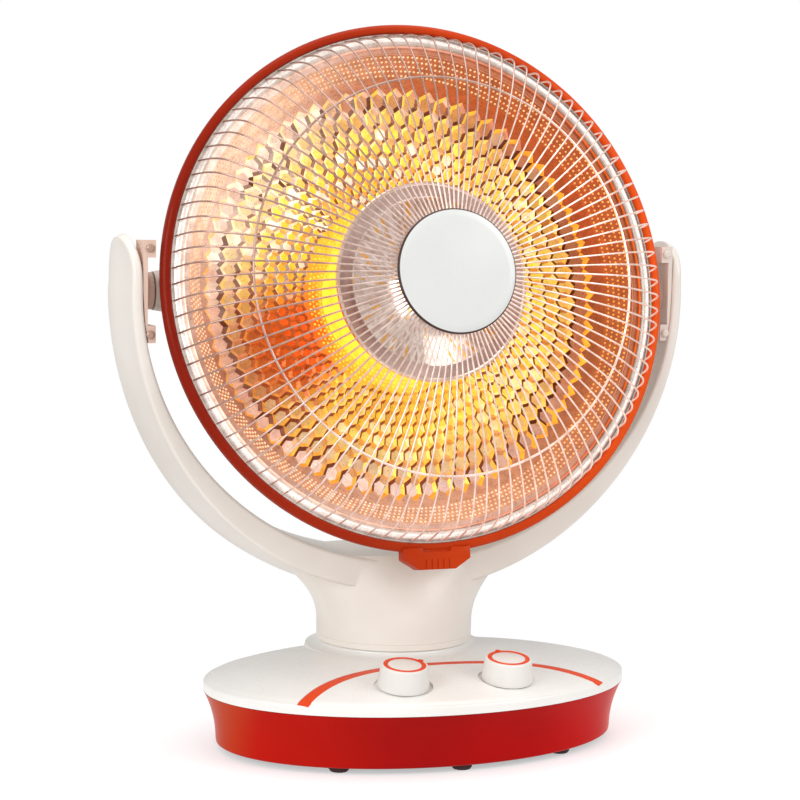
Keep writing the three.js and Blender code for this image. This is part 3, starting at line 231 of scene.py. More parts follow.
def start_material(name):
    material = bpy.data.materials.new(name)
    material.use_nodes = True
    tree = material.node_tree
    coords = add(tree, "ShaderNodeTexCoord").outputs["Object"]
    return material, tree, tree.nodes["Principled BSDF"], coords


def set_inputs(node, **values):
    for key, value in values.items():
        socket = node.inputs[key.replace("_", " ")]
        if isinstance(value, bpy.types.NodeSocket):
            node.id_data.links.new(value, socket)
        else:
            socket.default_value = value
    return node


def add(tree, kind, settings=None, **values):
    node = tree.nodes.new(kind)
    for key, value in (settings or {}).items():
        setattr(node, key, value)
    return set_inputs(node, **values)


def ramp(tree, source, stops, smooth=False):
    node = add(tree, "ShaderNodeValToRGB", Fac=source)
    if smooth:
        node.color_ramp.interpolation = "EASE"
    elements = node.color_ramp.elements
    while len(elements) < len(stops):
        elements.new(0.5)
    for element, (place, code) in zip(elements, stops):
        element.position = place
        element.color = linear(code)
    return node.outputs["Color"]


def spread(tree, source, low, high, start=0.3, end=0.7):
    ends = {"From_Min": start, "From_Max": end, "To_Min": low, "To_Max": high}
    return add(tree, "ShaderNodeMapRange", Value=source, **ends).outputs["Result"]


def noise(tree, vector, scale, detail):
    return add(tree, "ShaderNodeTexNoise", Vector=vector, Scale=scale, Detail=detail).outputs["Fac"]


def clouded(tree, colour, clouds, dark, top, share=1.0):
    node = add(tree, "ShaderNodeMix", {"data_type": "RGBA", "blend_type": "MULTIPLY"})
    node.inputs[0].default_value = share
    tree.links.new(colour, node.inputs[6])
    tree.links.new(ramp(tree, clouds, [(0.3, dark), (top, "FFFFFF")]), node.inputs[7])
    return node.outputs[2]


def grained(tree, shader, source, low, high, bump, distance=0.0002):
    node = add(tree, "ShaderNodeBump", Strength=bump, Distance=distance, Height=source)
    set_inputs(shader, Roughness=spread(tree, source, low, high), Normal=node.outputs["Normal"])


def moulded(name, dark, light, roughness, grain=1400, bump=0.12, coat=0.0, metallic=0.0):
    material, tree, shader, coords = start_material(name)
    tone = spread(tree, noise(tree, coords, 14, 3), 0, 1)
    set_inputs(shader, Base_Color=ramp(tree, tone, [(0, dark), (1, light)]), Metallic=metallic)
    set_inputs(shader, Coat_Weight=coat, Coat_Roughness=0.08)
    grained(tree, shader, noise(tree, coords, grain, 2), roughness - 0.04, roughness + 0.05, bump)
    return material


# %% [markdown]
# The glossy red skirt and the orange rim carry painted light and shade across them: the red runs
# from orange at the ends, where the sides catch the light, to a deep red at the middle, and the
# rim from brown on its shaded left to orange on its lit right.

# %% Colour-run materials with painted light and shade
# A colour ramp along x that paints light and shade across a piece.
def light_shade_run(name, low, high, stops, roughness, coat):
    material, tree, shader, coords = start_material(name)
    parts = add(tree, "ShaderNodeSeparateXYZ", Vector=coords)
    across = spread(tree, parts.outputs["X"], 0, 1, low, high)
    tone = ramp(tree, across, stops, smooth=True)
    mottled = clouded(tree, tone, noise(tree, coords, 30, 2), "D8D8D8", 0.7, 0.2)
    set_inputs(shader, Base_Color=mottled, Specular_IOR_Level=0.05)
    set_inputs(shader, Coat_Weight=coat, Coat_Roughness=0.06)
    grained(tree, shader, noise(tree, coords, 1100, 2), roughness - 0.03, roughness + 0.04, 0.06)
    return material


white = moulded("white_plastic", "E2D9CF", "EAE3DB", 0.36, coat=0.15)
cover_white = moulded("cover_white", "DEDBD6", "E8E6E2", 0.3, coat=0.2)
knob_white = moulded("knob_white", "D6D1CB", "E0DCD7", 0.32, coat=0.15)
badge_white = moulded("badge_white", "D2D3D0", "DBDCD9", 0.3, coat=0.15)
bracket_beige = moulded("bracket_beige", "D8B6A4", "E4C6B6", 0.45)
bracket_pale = moulded("bracket_pale", "DCCDC2", "E6D9CF", 0.4)
screw_beige = moulded("screw_beige", "A88674", "BC9A88", 0.35, metallic=0.3)
rubber_dark = moulded("rubber_dark", "2A1414", "3A1E1C", 0.8, grain=700, bump=0.3)
black = moulded("black_plastic", "1C1C1E", "28282B", 0.55)
grey = moulded("grey_plastic", "606064", "707074", 0.55)
nylon = moulded("nylon", "CFCBBD", "DCD8CC", 0.5)
steel = moulded("steel", "8C8C8A", "A4A4A2", 0.35, metallic=1.0)
casting = moulded("casting", "3E4042", "54575A", 0.7, grain=260, bump=0.6, metallic=0.7)
ceramic = moulded("ceramic", "DDD2C2", "EDE4D6", 0.75, grain=500, bump=0.3)
accent_orange = moulded("accent_orange", "D23C12", "E04A1A", 0.4)
set_inputs(accent_orange.node_tree.nodes["Principled BSDF"], Specular_IOR_Level=0.12)
# A near-black material that paints shade on the rounded edge of the badge.
badge_shade_ring = moulded("badge_shade_ring", "2E1A18", "40241F", 0.5)

# Painted light and shade: the skirt is lighter at both ends and deepest red at the middle.
skirt_light_stops = [(0.0, "B43A10"), (0.08, "AE1408"), (0.4, "980C0A")]
skirt_light_stops += [(0.6, "A20A08"), (0.88, "B80A06"), (1.0, "D8400E")]
skirt_red = light_shade_run("skirt_red", -0.15, 0.15, skirt_light_stops, 0.3, 0.0)
# Painted light and shade: the rim is brown on its shaded left and orange on its lit right.
rim_light_stops = [(0.0, "861C08"), (0.3, "9E280A"), (0.62, "C23C0C"), (1.0, "E85416")]
rim_orange = light_shade_run("rim_orange", -0.184, 0.184, rim_light_stops, 0.4, 0.08)
print("run materials", skirt_red.name, rim_orange.name)

# %% [markdown]
# On the real heater the bare metal mirrors the glowing element, so its colour changes from place to
# place. Here that reflection is painted by formula on the corners of each mesh, together with painted
# light, shade and highlights: a few named tones are blended by how far a face lies from the hot middle
# and on which side of the head it is.

# %% Tones of the lit metal
def tone_of(code):
    return Vector(linear(code)[:3])


white_hot, yellow, amber = tone_of("FFFAE6"), tone_of("FAE04E"), tone_of("EEAC38")
orange, terracotta, umber = tone_of("CC6426"), tone_of("AC6440"), tone_of("5E2E1A")
blush, rose, pearl = tone_of("F6E2D4"), tone_of("C08C74"), tone_of("DABBAE")

# Sides of the head where the painted light, shade and reflection change: the middle and the width of
# each, in degrees from the right
upper_left, left_edge, bottom_side = (146, 40), (148, 38), (262, 46)
top_side, right_side, deep_side, crescent = (88, 36), (2, 58), (203, 19), (198, 40)
warm_start, warm_depth = 140 * mm, 46 * mm
middle_edge, crescent_edge = 72 * mm, 54 * mm


def clamp(value):
    return max(0.0, min(1.0, value))


def blend(first, second, share):
    return first.lerp(second, clamp(share))


def around(angle, middle, width):
    away = (angle - math.radians(middle) + math.pi) % tau - math.pi
    return math.exp(-((away / math.radians(width)) ** 2))


# Each recipe starts from one tone and blends the others over it in turn; the blends paint the element's
# reflection, highlights, and light and shade by side.
def sheet_tone(kind, radius, angle, chance):
    pale, low = around(angle, *upper_left), around(angle, *bottom_side)
    high, east = around(angle, *top_side), around(angle, *right_side)
    near = clamp((warm_start - radius) / warm_depth)
    wedge = around(angle, *deep_side) * near
    glint = (chance > 0.84) * (0.7 * pale + 0.5 * near + 0.4 * high)
    # Painted reflection of the glowing element: yellow near the middle and on the top side.
    element_reflection = near * (0.9 + 0.6 * chance) * (1 - 0.3 * low) + 0.3 * high * chance
    ring = clamp((radius - crescent_edge) / (3 * mm)) * (radius < middle_edge)
    floor = [rose, (terracotta, 1.1 * east + 0.6 * high + 0.5 * near), (orange, high * 0.5 + near * 0.4)]
    floor += [(pearl, low * (1 - 0.8 * near)), (blush, pale * (0.3 + 0.9 * chance))]
    floor += [(yellow, element_reflection), (white_hot, glint), (orange, wedge * 2.2)]
    hot = [amber, (yellow, near + high * 0.9 + pale * 0.4 - 0.2)]
    hot += [(white_hot, pale * (0.2 + 0.6 * chance) + 0.5 * near * chance), (orange, wedge * 1.5)]
    side = [rose, (terracotta, east)]
    side += [(white_hot, pale * 0.9 + high * 0.5 * chance + low * 0.4 * chance)]
    side += [(amber, near * 0.9 + 0.3 * low), (orange, wedge * 2)]
    dark = [umber, (terracotta, near * 0.6 + low * 0.4 + high * 0.2)]
    dark += [(blush, pale * 1.1 * chance), (orange, wedge * 2)]
    step = [terracotta, (orange, high * 0.5), (umber, east * 0.45), (blush, pale + low * 0.55)]
    plain = [rose, (terracotta, 1 - low), (umber, 0.3 * east)]
    plain += [(blush, around(angle, *left_edge) * 1.1 + 0.35 * low)]
    plain += [(yellow, (middle_edge - radius) / (2 * mm)), (orange, ring * around(angle, *crescent))]
    recipes = {"floor": floor, "hot": hot, "side": side, "dark": dark, "step": step, "sheet": plain}
    tone, *layers = recipes[kind]
    for colour, share in layers:
        tone = blend(tone, colour, share)
    return tone


def paint(piece, tone_at):
    mesh = piece.data
    layer = mesh.attributes.new("tone", "FLOAT_COLOR", "CORNER")
    inverse = front_place.inverted()
    for face in mesh.polygons:
        place = inverse @ face.center
        looks = inverse.to_3x3() @ face.normal
        tone = tone_at(place, looks, face.index)
        glow = tone[3] if len(tone) > 3 else 1.0
        for corner in face.loop_indices:
            layer.data[corner].color = (*tone[:3], glow)


# %% [markdown]
# The shaders of the lit metal take that paint as their colour and add what paint can't give: soft
# clouds, fine grain, small bumps and true reflections. They also add a share of glow, painted light
# that stands in for the element's light reflected by the metal; its strength is painted in the alpha of
# the same attribute, so that deep walls stay dark as painted shade.

# %% Metal materials
def painted_metal(name, roughness, glow, metallic=1.0, bump=0.08):
    material, tree, shader, coords = start_material(name)
    painted = add(tree, "ShaderNodeAttribute", {"attribute_name": "tone"}).outputs
    patches, fine = noise(tree, coords, 130, 3), noise(tree, coords, 480, 2)
    light = clouded(tree, painted["Color"], patches, "ECE6E3", 0.62)
    power = add(tree, "ShaderNodeMath", {"operation": "MULTIPLY"})
    tree.links.new(spread(tree, patches, glow * 0.8, glow * 1.2), power.inputs[0])
    tree.links.new(painted["Alpha"], power.inputs[1])
    set_inputs(shader, Base_Color=light, Metallic=metallic)
    # Painted light: the metal glows to stand in for the element's reflected light.
    set_inputs(shader, Emission_Color=light, Emission_Strength=power.outputs[0])
    grained(tree, shader, fine, roughness * 0.75, roughness * 1.35, bump, 0.0001)
    return material


def metal(name, dark, light, roughness):
    material, tree, shader, coords = start_material(name)
    tone, fine = noise(tree, coords, 90, 3), noise(tree, coords, 600, 2)
    set_inputs(shader, Base_Color=ramp(tree, tone, [(0.3, dark), (0.7, light)]), Metallic=1)
    grained(tree, shader, fine, roughness * 0.8, roughness * 1.3, 0.05, 0.00005)
    return material


wire_chrome = painted_metal("wire_chrome", 0.3, 0.3)
band_silver = painted_metal("band_silver", 0.3, 0.25, metallic=0.6, bump=0.01)
pin_steel = metal("pin_steel", "A8A8A6", "C4C4C2", 0.28)
lit_sheet = painted_metal("lit_sheet", 0.32, 0.5, metallic=0.55)
cap_chrome = painted_metal("cap_chrome", 0.14, 0.12)


def glow_material(name, low, high, strength):
    material, tree, shader, coords = start_material(name)
    colour = ramp(tree, noise(tree, coords, 400, 2), [(0.3, low), (0.7, high)])
    set_inputs(shader, Emission_Color=colour, Emission_Strength=strength, Base_Color=linear("FF8A3A"))
    return material


hot_wire = glow_material("hot_wire", "FFA040", "FFD080", 5)
hot_core = glow_material("hot_core", "FFB060", "FFD890", 1.6)
print("materials", len(bpy.data.materials))


# %% [markdown]
# The base is a glossy red skirt that narrows towards the floor, under a white domed cover.
# Both are moulded. Rings skinned from ovals follow their curves exactly, and booleans then cut
# the two knob recesses and the groove for the accent arc where they cross the dome.

# %% Base shapes
skirt_steps, skirt_sheet = 14, 2.6 * mm
dome_steps, dome_bias, dome_core = 18, 1.4, 0.02
arc_steps = 60


def base_ring(inset, height):
    return oval(base_half_width - inset, base_half_depth - inset, height)


def skirt_ring(height, inset):
    share = (height - foot_height) / (skirt_top - foot_height)
    slope = skirt_inset * (1 - max(0.0, share) ** skirt_power)
    return base_ring(slope + inset, height)


def dome_height(share):
    return rim_top + dome_rise * (1 - share**dome_power)


def dome_at(x, y):
    return dome_height(math.hypot(x / base_half_width, y / base_half_depth))


def make_skirt():
    rise = skirt_top - foot_height
    heights = [foot_height + rise * k / skirt_steps for k in range(1, skirt_steps + 1)]
    outside = [skirt_ring(foot_height, 1.4 * mm), skirt_ring(foot_height + 0.8 * mm, 0.3 * mm)]
    outside += [skirt_ring(height, 0) for height in heights]
    inside = [skirt_ring(height, skirt_sheet) for height in (skirt_top, 0.6 * skirt_top, foot_height)]
    return solid("skirt_shell", outside + inside, skirt_red, looped=True)


def dome_rings():
    edge, lead = rim_top - rim_rounding, rim_rounding * 1.2
    rings = [base_ring(0, skirt_top + 0.3 * mm)]
    rings += [base_ring(lead * (1 - c), edge + rim_rounding * s) for c, s in quarter(6)]
    start = 1 - lead / base_half_width
    for k in range(1, dome_steps + 1):
        part = k / dome_steps
        share = start * (1 - part**dome_bias) + dome_core * part
        rings.append(oval(base_half_width * share, base_half_depth * share, dome_height(share)))
    return rings


def collar_profile():
    low, top = dome_height(0.45), swivel_seam
    rise = top - low - 0.6 * mm
    profile = [(0, rim_top), (collar_radius + collar_flare * 1.3, rim_top)]
    profile += [(collar_radius + collar_flare * (1 - s), low + rise * (1 - c)) for c, s in quarter(8)]
    return profile + [(collar_radius, top - 0.4 * mm), (collar_radius - 0.5 * mm, top), (0, top)]


def arc_section(angle, width, depth, rise):
    centre_y = arc_apex - arc_radius
    rows = []
    for k in range(5):
        radius = arc_radius + width * (k / 4 - 0.5)
        x = radius * math.sin(angle)
        y = centre_y + radius * math.cos(angle)
        rows.append((x, y, dome_at(x, y) + rise))
    floor = [(x, y, z - depth - rise) for x, y, z in reversed(rows)]
    return rows + floor


def make_arc(name, width, depth, rise, stretch, material):
    half = math.asin(arc_half_chord / arc_radius) * stretch
    angles = [-half + 2 * half * k / arc_steps for k in range(arc_steps + 1)]
    sections = [arc_section(angle, width, depth, rise) for angle in angles]
    return solid(name, sections, material, sharp=30)


def knob_place(side, spin=0.0):
    x = side * knob_spacing / 2
    base = Vector((x, knob_setback, dome_at(x, knob_setback) - knob_recess))
    return Matrix.Translation(base) @ Matrix.Rotation(knob_tilt, 4, "X") @ Matrix.Rotation(spin, 4, "Z")


def base_column(inset, low, high):
    return [base_ring(inset, z * mm) for z in (low, high)]


def make_cover():
    cover = solid("cover_shell", dome_rings(), cover_white)
    collar = make_object("collar_tool", *turned(collar_profile(), 160), cover_white, place=neck_place)
    column = solid("column_tool", base_column(0, 30, 80), cover_white)
    cut(collar, [column], "INTERSECT")
    cut(cover, [collar], "UNION")
    recess, mouth, height = 19.6, 19.6 + 0.8, 14
    for side in (-1, 1):
        profile = [(0, 0), (recess, 0), (mouth, height), (0, height)]
        cut(cover, [lathe("recess_tool", profile, cover_white, knob_place(side), 96)])
    cut(cover, [make_arc("groove_tool", arc_width + 0.5 * mm, 0.9 * mm, 3 * mm, 1.004, cover_white)])
    cut(cover, [solid("hollow_tool", base_column(3 * mm, 30, 43), cover_white)])
    return cover


skirt = make_skirt()
cover = make_cover()
arc = make_arc("accent_inlay", arc_width, 0.8 * mm, -0.25 * mm, 1.0, accent_orange)
for piece, node in ((skirt, "base_skirt"), (cover, "base_cover"), (arc, "accent_arc")):
    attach(piece, "base")
    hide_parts(node)
print("base faces", len(skirt.data.polygons), len(cover.data.polygons))


# %% [markdown]
# Each knob is a moulded cap with a rounded crown and an orange ring let into it. Turned
# profiles in millimetres give both, and the pointer, which breaks the round shape, is a small
# prism joined to the ring.

# %% Knobs
knob_top, knob_foot = 15.9, 0.3
ring_floor = knob_top - 0.7


def make_knob(name, side, spin):
    profile = [(0, knob_foot), (17.0, knob_foot), (17.4, knob_foot + 0.5), (17.3, 3)]
    profile += [(14.6 + 1.25 * c, knob_top - 1.3 + 1.3 * s) for c, s in quarter(8)]
    profile += [(14.25, knob_top), (14.2, ring_floor), (11.2, ring_floor)]
    profile += [(11.15, knob_top - 0.1), (10.9, knob_top), (0, knob_top)]
    return lathe(name, profile, knob_white, knob_place(side, spin), 128)


def make_knob_ring(name, side, spin):
    edge, crown = knob_top - 0.05, knob_top + 0.1
    profile = [(11.25, ring_floor), (14.15, ring_floor), (14.15, edge)]
    profile += [(14.0, crown), (11.4, crown), (11.25, edge)]
    ring = lathe(name, profile, accent_orange, knob_place(side, spin), 128)
    pointer = [(-1.9, 13.2), (1.9, 13.2), (1.3, 15.3), (0, 15.8), (-1.3, 15.3)]
    pointer = prism(pointer, ring_floor, knob_top + 0.45)
    tool = solid("pointer_tool", pointer, accent_orange, knob_place(side, spin))
    return cut(ring, [tool], "UNION")


for side, name, body, spin in ((-1, "heat", "heat_dial", -69), (1, "timer", "timer_dial", 9)):
    knob = make_knob(name + "_knob_cap", side, math.radians(spin))
    ring = make_knob_ring(name + "_inlay", side, math.radians(spin))
    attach(knob, body)
    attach(ring, body)
    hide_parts(name + "_knob")
    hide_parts(name + "_knob_ring")
    print(name, "knob faces", len(knob.data.polygons) + len(ring.data.polygons))


# %% [markdown]
# The yoke is a moulded band in the shape of a U on a round neck. A sweep would keep one
# section all the way, but this band grows deeper and fuller towards its foot, so rounded
# sections are lofted from tip to tip, and the neck spreads into its underside.

# %% Yoke
yoke_inner_half, yoke_inner_drop = 195.5 * mm, 188.5 * mm
yoke_outer_half, yoke_outer_drop = 203 * mm, 210 * mm
arm_front, arm_back = 1 * mm, 67 * mm
foot_front, foot_back = 8 * mm, 88 * mm
tip_rise, tip_flare = 38 * mm, 6 * mm
arm_swell, foot_swell = 3 * mm, 7 * mm
tip_steps, band_steps, neck_steps = 14, 128, 24
tip_round_start, tip_thinning = 0.3, 0.3


def mix(a, b, t):
    return a + (b - a) * t


def smooth(t):
    return t * t * (3 - 2 * t)


def corner_points(cx, cy, radius, start, steps=5):
    turns = [start + k / steps * tau / 4 for k in range(steps + 1)]
    return [(cx + radius * math.cos(t), cy + radius * math.sin(t)) for t in turns]


def band_section(inner, outer, front, back, swell):
    across = outer - inner
    thick = across.length
    direction = across / thick
    corner = min(2.6 * mm, thick * 0.42, (back - front) * 0.3)
    rear = thick + swell
    outline = corner_points(corner, front + corner, corner, tau / 2)
    outline += corner_points(thick - corner, front + corner, corner, tau * 3 / 4)
    for k in range(1, 7):
        t = k / 7
        outline.append((thick + swell * smooth(min(1, t * 1.3)), mix(front + corner, back - corner, t)))
    outline += corner_points(rear - corner, back - corner, corner, 0)
    outline += corner_points(corner, back - corner, corner, tau / 4)
    for k in range(1, 5):
        outline.append((0, mix(back - corner, front + corner, k / 5)))
    return [(inner.x + direction.x * r, d, inner.y + direction.y * r) for r, d in outline]


def tip_sections(side):
    middle, half = (arm_front + arm_back) / 2, (arm_back - arm_front) / 2
    sections = []
    for k in range(1, tip_steps + 1):
        share = math.sin(k / tip_steps * tau / 4)
        flare = tip_flare * share**2.4
        fade = max(0.0, share - tip_round_start) / 0.715
        rounding = math.sqrt(max(0.0, 1 - fade * fade))
        thin = 1 - tip_thinning * share
        inner = Vector((side * (yoke_inner_half + flare), pivot.z + tip_rise * share))
        wide = side * (yoke_outer_half - yoke_inner_half) * thin
        outer = Vector((inner.x + wide, inner.y - flare * 0.4))
        deep, swell = half * rounding, arm_swell * rounding * thin
        sections.append(band_section(inner, outer, middle - deep, middle + deep, swell))
    return sections


def band_sections():
    sections = list(reversed(tip_sections(-1)))
    for i in range(band_steps + 1):
        angle = math.pi + i / band_steps * math.pi
        cosine, sine = math.cos(angle), math.sin(angle)
        drop = smooth(abs(sine) ** 1.3)
        inner = Vector((cosine * yoke_inner_half, pivot.z + sine * yoke_inner_drop))
        outer = Vector((cosine * yoke_outer_half, pivot.z + sine * yoke_outer_drop))
        front, back = mix(arm_front, foot_front, drop), mix(arm_back, foot_back, drop)
        sections.append(band_section(inner, outer, front, back, mix(arm_swell, foot_swell, drop)))
    return sections + tip_sections(1)


def neck_rings():
    low = swivel_seam + 0.3 * mm
    bottom = pivot.z - yoke_outer_drop
    reach, narrow = 42 * mm, 17 * mm
    start, bend, top = bottom - 26 * mm, 26 * mm, 52 * mm
    sizes = [(-0.5 * mm, -0.5 * mm, low), (0, 0, low + 0.5 * mm), (0, 0, low + 4 * mm)]
    sizes += [(-0.35 * mm, -0.35 * mm, low + 4.35 * mm), (0, 0, low + 4.7 * mm)]
    for k in range(neck_steps + 1):
        t = k / neck_steps
        sizes.append((reach * t * t, -narrow * t * t, start + 2 * t * (1 - t) * bend + t * t * top))
    return [oval(neck_radius + x, neck_radius + y, z, 160, neck_setback) for x, y, z in sizes]


def make_yoke():
    yoke = solid("yoke_band", band_sections(), white)
    return cut(yoke, [solid("neck_tool", neck_rings(), white)], "UNION")


yoke = make_yoke()
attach(yoke, "yoke_unit")
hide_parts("yoke")
print("yoke faces", len(yoke.data.polygons))


# %% [markdown]
# The rim is a moulded ring, the bright band inside it is rolled sheet, and the badge is a moulded
# disc; the rim and the band carry painted light and shade, and the badge has painted shade on its
# rounded edge. All share the axis of the head, so each is a profile of radius and reach in millimetres,
# turned about it. Reach is measured forwards from the plane of the rim.

# %% Rim, band and badge
def head_ring(name, profile, material, steps=256, sharp=32):
    return lathe(name, profile, material, front_place, steps, sharp)


rim_profile = [(177.6, -2.4), (177.6, 2.2), (177.8, 2.9), (178.3, 3.6), (179.2, 3.95), (180.6, 3.9)]
rim_profile += [(182.0, 3.4), (183.1, 2.5), (183.8, 1.5), (184, 0.6), (184, -3.6), (183.6, -4)]
rim_profile += [(181.6, -4), (181.6, -2.4)]
rim = head_ring("rim_shell", rim_profile, rim_orange)


def angle_of(place):
    return math.atan2(place.y, place.x) % tau


def radius_of(place):
    return math.hypot(place.x, place.y)


# A tone that runs across the head from right to left, used to paint light and shade.
def tone_run(first, second, middle, swing):
    return lambda place, *_: blend(first, second, middle + swing * math.cos(angle_of(place)))


# Tones for the painted light and shade on the band and on the guard's foot ring.
cream, silver, shade = tone_of("FBF3EC"), tone_of("D3CCC4"), tone_of("93867C")


# Painted light and shade on the band: cream on its crown, silver on its sloping flanks, and a darker
# shade on the flanks towards the right.
def band_tone(place, looks, number):
    angle = angle_of(place)
    pale = clamp(0.5 - 0.6 * math.cos(angle))
    slope = looks.dot(Vector((place.x, place.y, 0)).normalized())
    tone = blend(cream, silver, abs(slope) * 0.9)
    return blend(tone, shade, (1 - pale) * clamp(abs(slope) * 1.6 - 0.4))


band_profile = [(169.2, -1.2), (176.2, -1.2), (176.2, -0.2), (175.9, 0.6), (175.1, 1.5), (174, 2.15)]
band_profile += [(172.8, 2.4), (171.6, 2.2), (170.4, 1.5), (169.5, 0.6), (169.2, -0.2)]
band = head_ring("band_shell", band_profile, band_silver, sharp=60)
paint(band, band_tone)
# Painted light and shade on the inner line: orange on the right side, blush on the left.
line_profile = [(167.9, -1.3), (169.0, -1.3), (169.0, 0.5), (168.4, 0.9), (167.9, 0.5)]
line = head_ring("inner_line", line_profile, lit_sheet, sharp=60)
paint(line, tone_run(orange, blush, 0.5, -0.6))

badge_shade_start = 40.7 * mm
badge_profile = [(0, 65.6), (41.3, 65.6), (41.9, 66.2), (42, 67.2), (41.7, 68.0), (40.9, 68.5)]
badge_profile += [(36, 68.65), (20, 68.85), (0, 68.9)]
badge = head_ring("badge_disc", badge_profile, badge_white, 192, sharp=50)
# Painted shade: faces beyond this radius, on the rounded edge of the badge, take the dark material.
badge.data.materials.append(badge_shade_ring)
for face in badge.data.polygons:
    if radius_of(front_place.inverted() @ face.center) > badge_shade_start:
        face.material_index = 1

for piece, node in ((rim, "rim_ring"), (band, "polished_band"), (badge, "hub_badge")):
    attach(piece, "head_unit")
    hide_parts(node)
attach(line, "head_unit")
print("rim faces", len(rim.data.polygons), "band faces", len(band.data.polygons))


# %% [markdown]
# What repeats round the head is made with Geometry Nodes: one part is drawn, and a small
# tree turns copies of it about the axis, realises them and gives them their material.

# %% Geometry Nodes for radial repeats
def radial_tree():
    tree = bpy.data.node_groups.new("radial_repeat", "GeometryNodeTree")
    for name, kind in (("Part", "Geometry"), ("Count", "Int"), ("Finish", "Material")):
        tree.interface.new_socket(name, in_out="INPUT", socket_type="NodeSocket" + kind)
    tree.interface.new_socket("Result", in_out="OUTPUT", socket_type="NodeSocketGeometry")
    source = add(tree, "NodeGroupInput").outputs
    line = add(tree, "GeometryNodeMeshLine", Offset=(0, 0, 0), Count=source["Count"])
    index = add(tree, "GeometryNodeInputIndex")
    share = add(tree, "ShaderNodeMath", {"operation": "DIVIDE"})
    tree.links.new(index.outputs[0], share.inputs[0])
    tree.links.new(source["Count"], share.inputs[1])
    angle = add(tree, "ShaderNodeMath", {"operation": "MULTIPLY"})
    tree.links.new(share.outputs[0], angle.inputs[0])
    angle.inputs[1].default_value = tau
    euler = add(tree, "ShaderNodeCombineXYZ", Z=angle.outputs[0])
    turn = add(tree, "FunctionNodeEulerToRotation", Euler=euler.outputs[0])
    copies = add(tree, "GeometryNodeInstanceOnPoints", Instance=source["Part"])
    set_inputs(copies, Points=line.outputs["Mesh"], Rotation=turn.outputs[0])
    real = add(tree, "GeometryNodeRealizeInstances", Geometry=copies.outputs["Instances"])
    finish = add(tree, "GeometryNodeSetMaterial", Geometry=real.outputs["Geometry"])
    set_inputs(finish, Material=source["Finish"])
    add(tree, "NodeGroupOutput", Result=finish.outputs["Geometry"])
    return tree


radial = radial_tree()
radial_sockets = {item.name: item.identifier for item in radial.interface.items_tree}
print("radial tree", sorted(radial_sockets))


def repeated(piece, count, material, place, sharp=40):
    modifier = piece.modifiers.new("radial_repeat", "NODES")
    modifier.node_group = radial
    modifier[radial_sockets["Count"]] = count
    modifier[radial_sockets["Finish"]] = material
    apply_modifiers(piece, sharp)
    piece.data.transform(place)
    piece.data.update()
    return piece


# %% [markdown]
# Each wire of the guard leaves the hub, bows over the hoop, bends round near the rim and
# drops to the flat ring between the band and the rim. The wires are all alike, so one is
# swept along a rounded path and the tree above repeats it.

# %% Wire guard
def smooth_path(corners, rounds, steps=6):
    path = [Vector(corners[0])]
    for before, here, after, radius in zip(corners, corners[1:], corners[2:], rounds):
        a, b, c = Vector(before), Vector(here), Vector(after)
        reach = min(radius, (a - b).length * 0.45, (c - b).length * 0.45)
        start, end = b + (a - b).normalized() * reach, b + (c - b).normalized() * reach
        for k in range(steps + 1):
            t = k / steps
            path.append(start * (1 - t) ** 2 + b * 2 * t * (1 - t) + end * t * t)
    path.append(Vector(corners[-1]))
    return path


def tube(path, radius, sides=8):
    rings = []
    for i, point in enumerate(path):
        ahead = (path[min(len(path) - 1, i + 1)] - path[max(0, i - 1)]).normalized()
        side = Vector((0, 1, 0))
        up = ahead.cross(side).normalized()
        rings.append([point + side * c * radius + up * s * radius for c, s in circle(sides)])
    return rings


# Tones for the painted light, shade and reflection on the chrome wires.
shaded_wire, lit_wire, pale_wire = tone_of("AD9086"), tone_of("F6DCD0"), tone_of("D9C6BE")
pale_start, pale_depth, pale_side = 92 * mm, 30 * mm, (250, 25)


# Painted light, shade and reflection on the wires: shaded towards the upper left, lit on the lower
# right, and paler near the middle and at the bottom.
def wire_tone(place, looks, number):
    angle = angle_of(place)
    dark = smooth(clamp(0.42 - 0.7 * math.cos(angle) + 0.55 * math.sin(angle)))
    tone = blend(lit_wire, shaded_wire, dark)
    near = clamp((pale_start - radius_of(place)) / pale_depth)
    return blend(tone, pale_wire, near * 0.8 + 0.6 * around(angle, *pale_side))


wire_count, wire_radius, hoop_radius = 102, 0.66 * mm, 0.85
wire_corners = [(37.5, 64.2), (88, 62.0), (134.6, 52.3), (165, 33.5), (171.5, 21), (176.6, 0)]
wire_bends = [40 * mm, 40 * mm, 16 * mm, 9 * mm]
wire_path = smooth_path([(r * mm, 0, z * mm) for r, z in wire_corners], wire_bends)
guard = solid("guard_wires", tube(wire_path, wire_radius), wire_chrome)
repeated(guard, wire_count, wire_chrome, front_place, sharp=60)
paint(guard, wire_tone)


hoop_profile = [(134.6 + hoop_radius * c, 50.4 + hoop_radius * s) for c, s in circle(10)]
guard_hoop = head_ring("guard_hoop_wire", hoop_profile, wire_chrome, sharp=60)
# The hoop takes the same painted light and shade as the wires.
paint(guard_hoop, wire_tone)
foot_profile = [(176.3, -1.2), (177.4, -1.2), (177.4, 0.9), (177.2, 1.2), (176.6, 1.2), (176.3, 0.9)]
foot_ring = head_ring("guard_foot_ring", foot_profile, band_silver)
# Painted shade on the foot ring: silver on the left, darker towards the right.
paint(foot_ring, tone_run(silver, shade, 0.35, 0.35))
for piece in (guard, guard_hoop, foot_ring):
    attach(piece, "head_unit")
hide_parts("wire_guard")
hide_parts("guard_hoop")
print("guard wires", wire_count, "faces", len(guard.data.polygons))


# %% [markdown]
# The reflector is one bright sheet pressed into a bowl: a flange at the rim, a steep wall,
# eight rows of hexagonal hollows, a plain ring and the hole for the socket. A painted pattern
# would look flat from the side, so every cell is real, with six sloping walls and a flat floor.
# The rows stand at even steps of the logarithm of the radius, which keeps the cells alike.

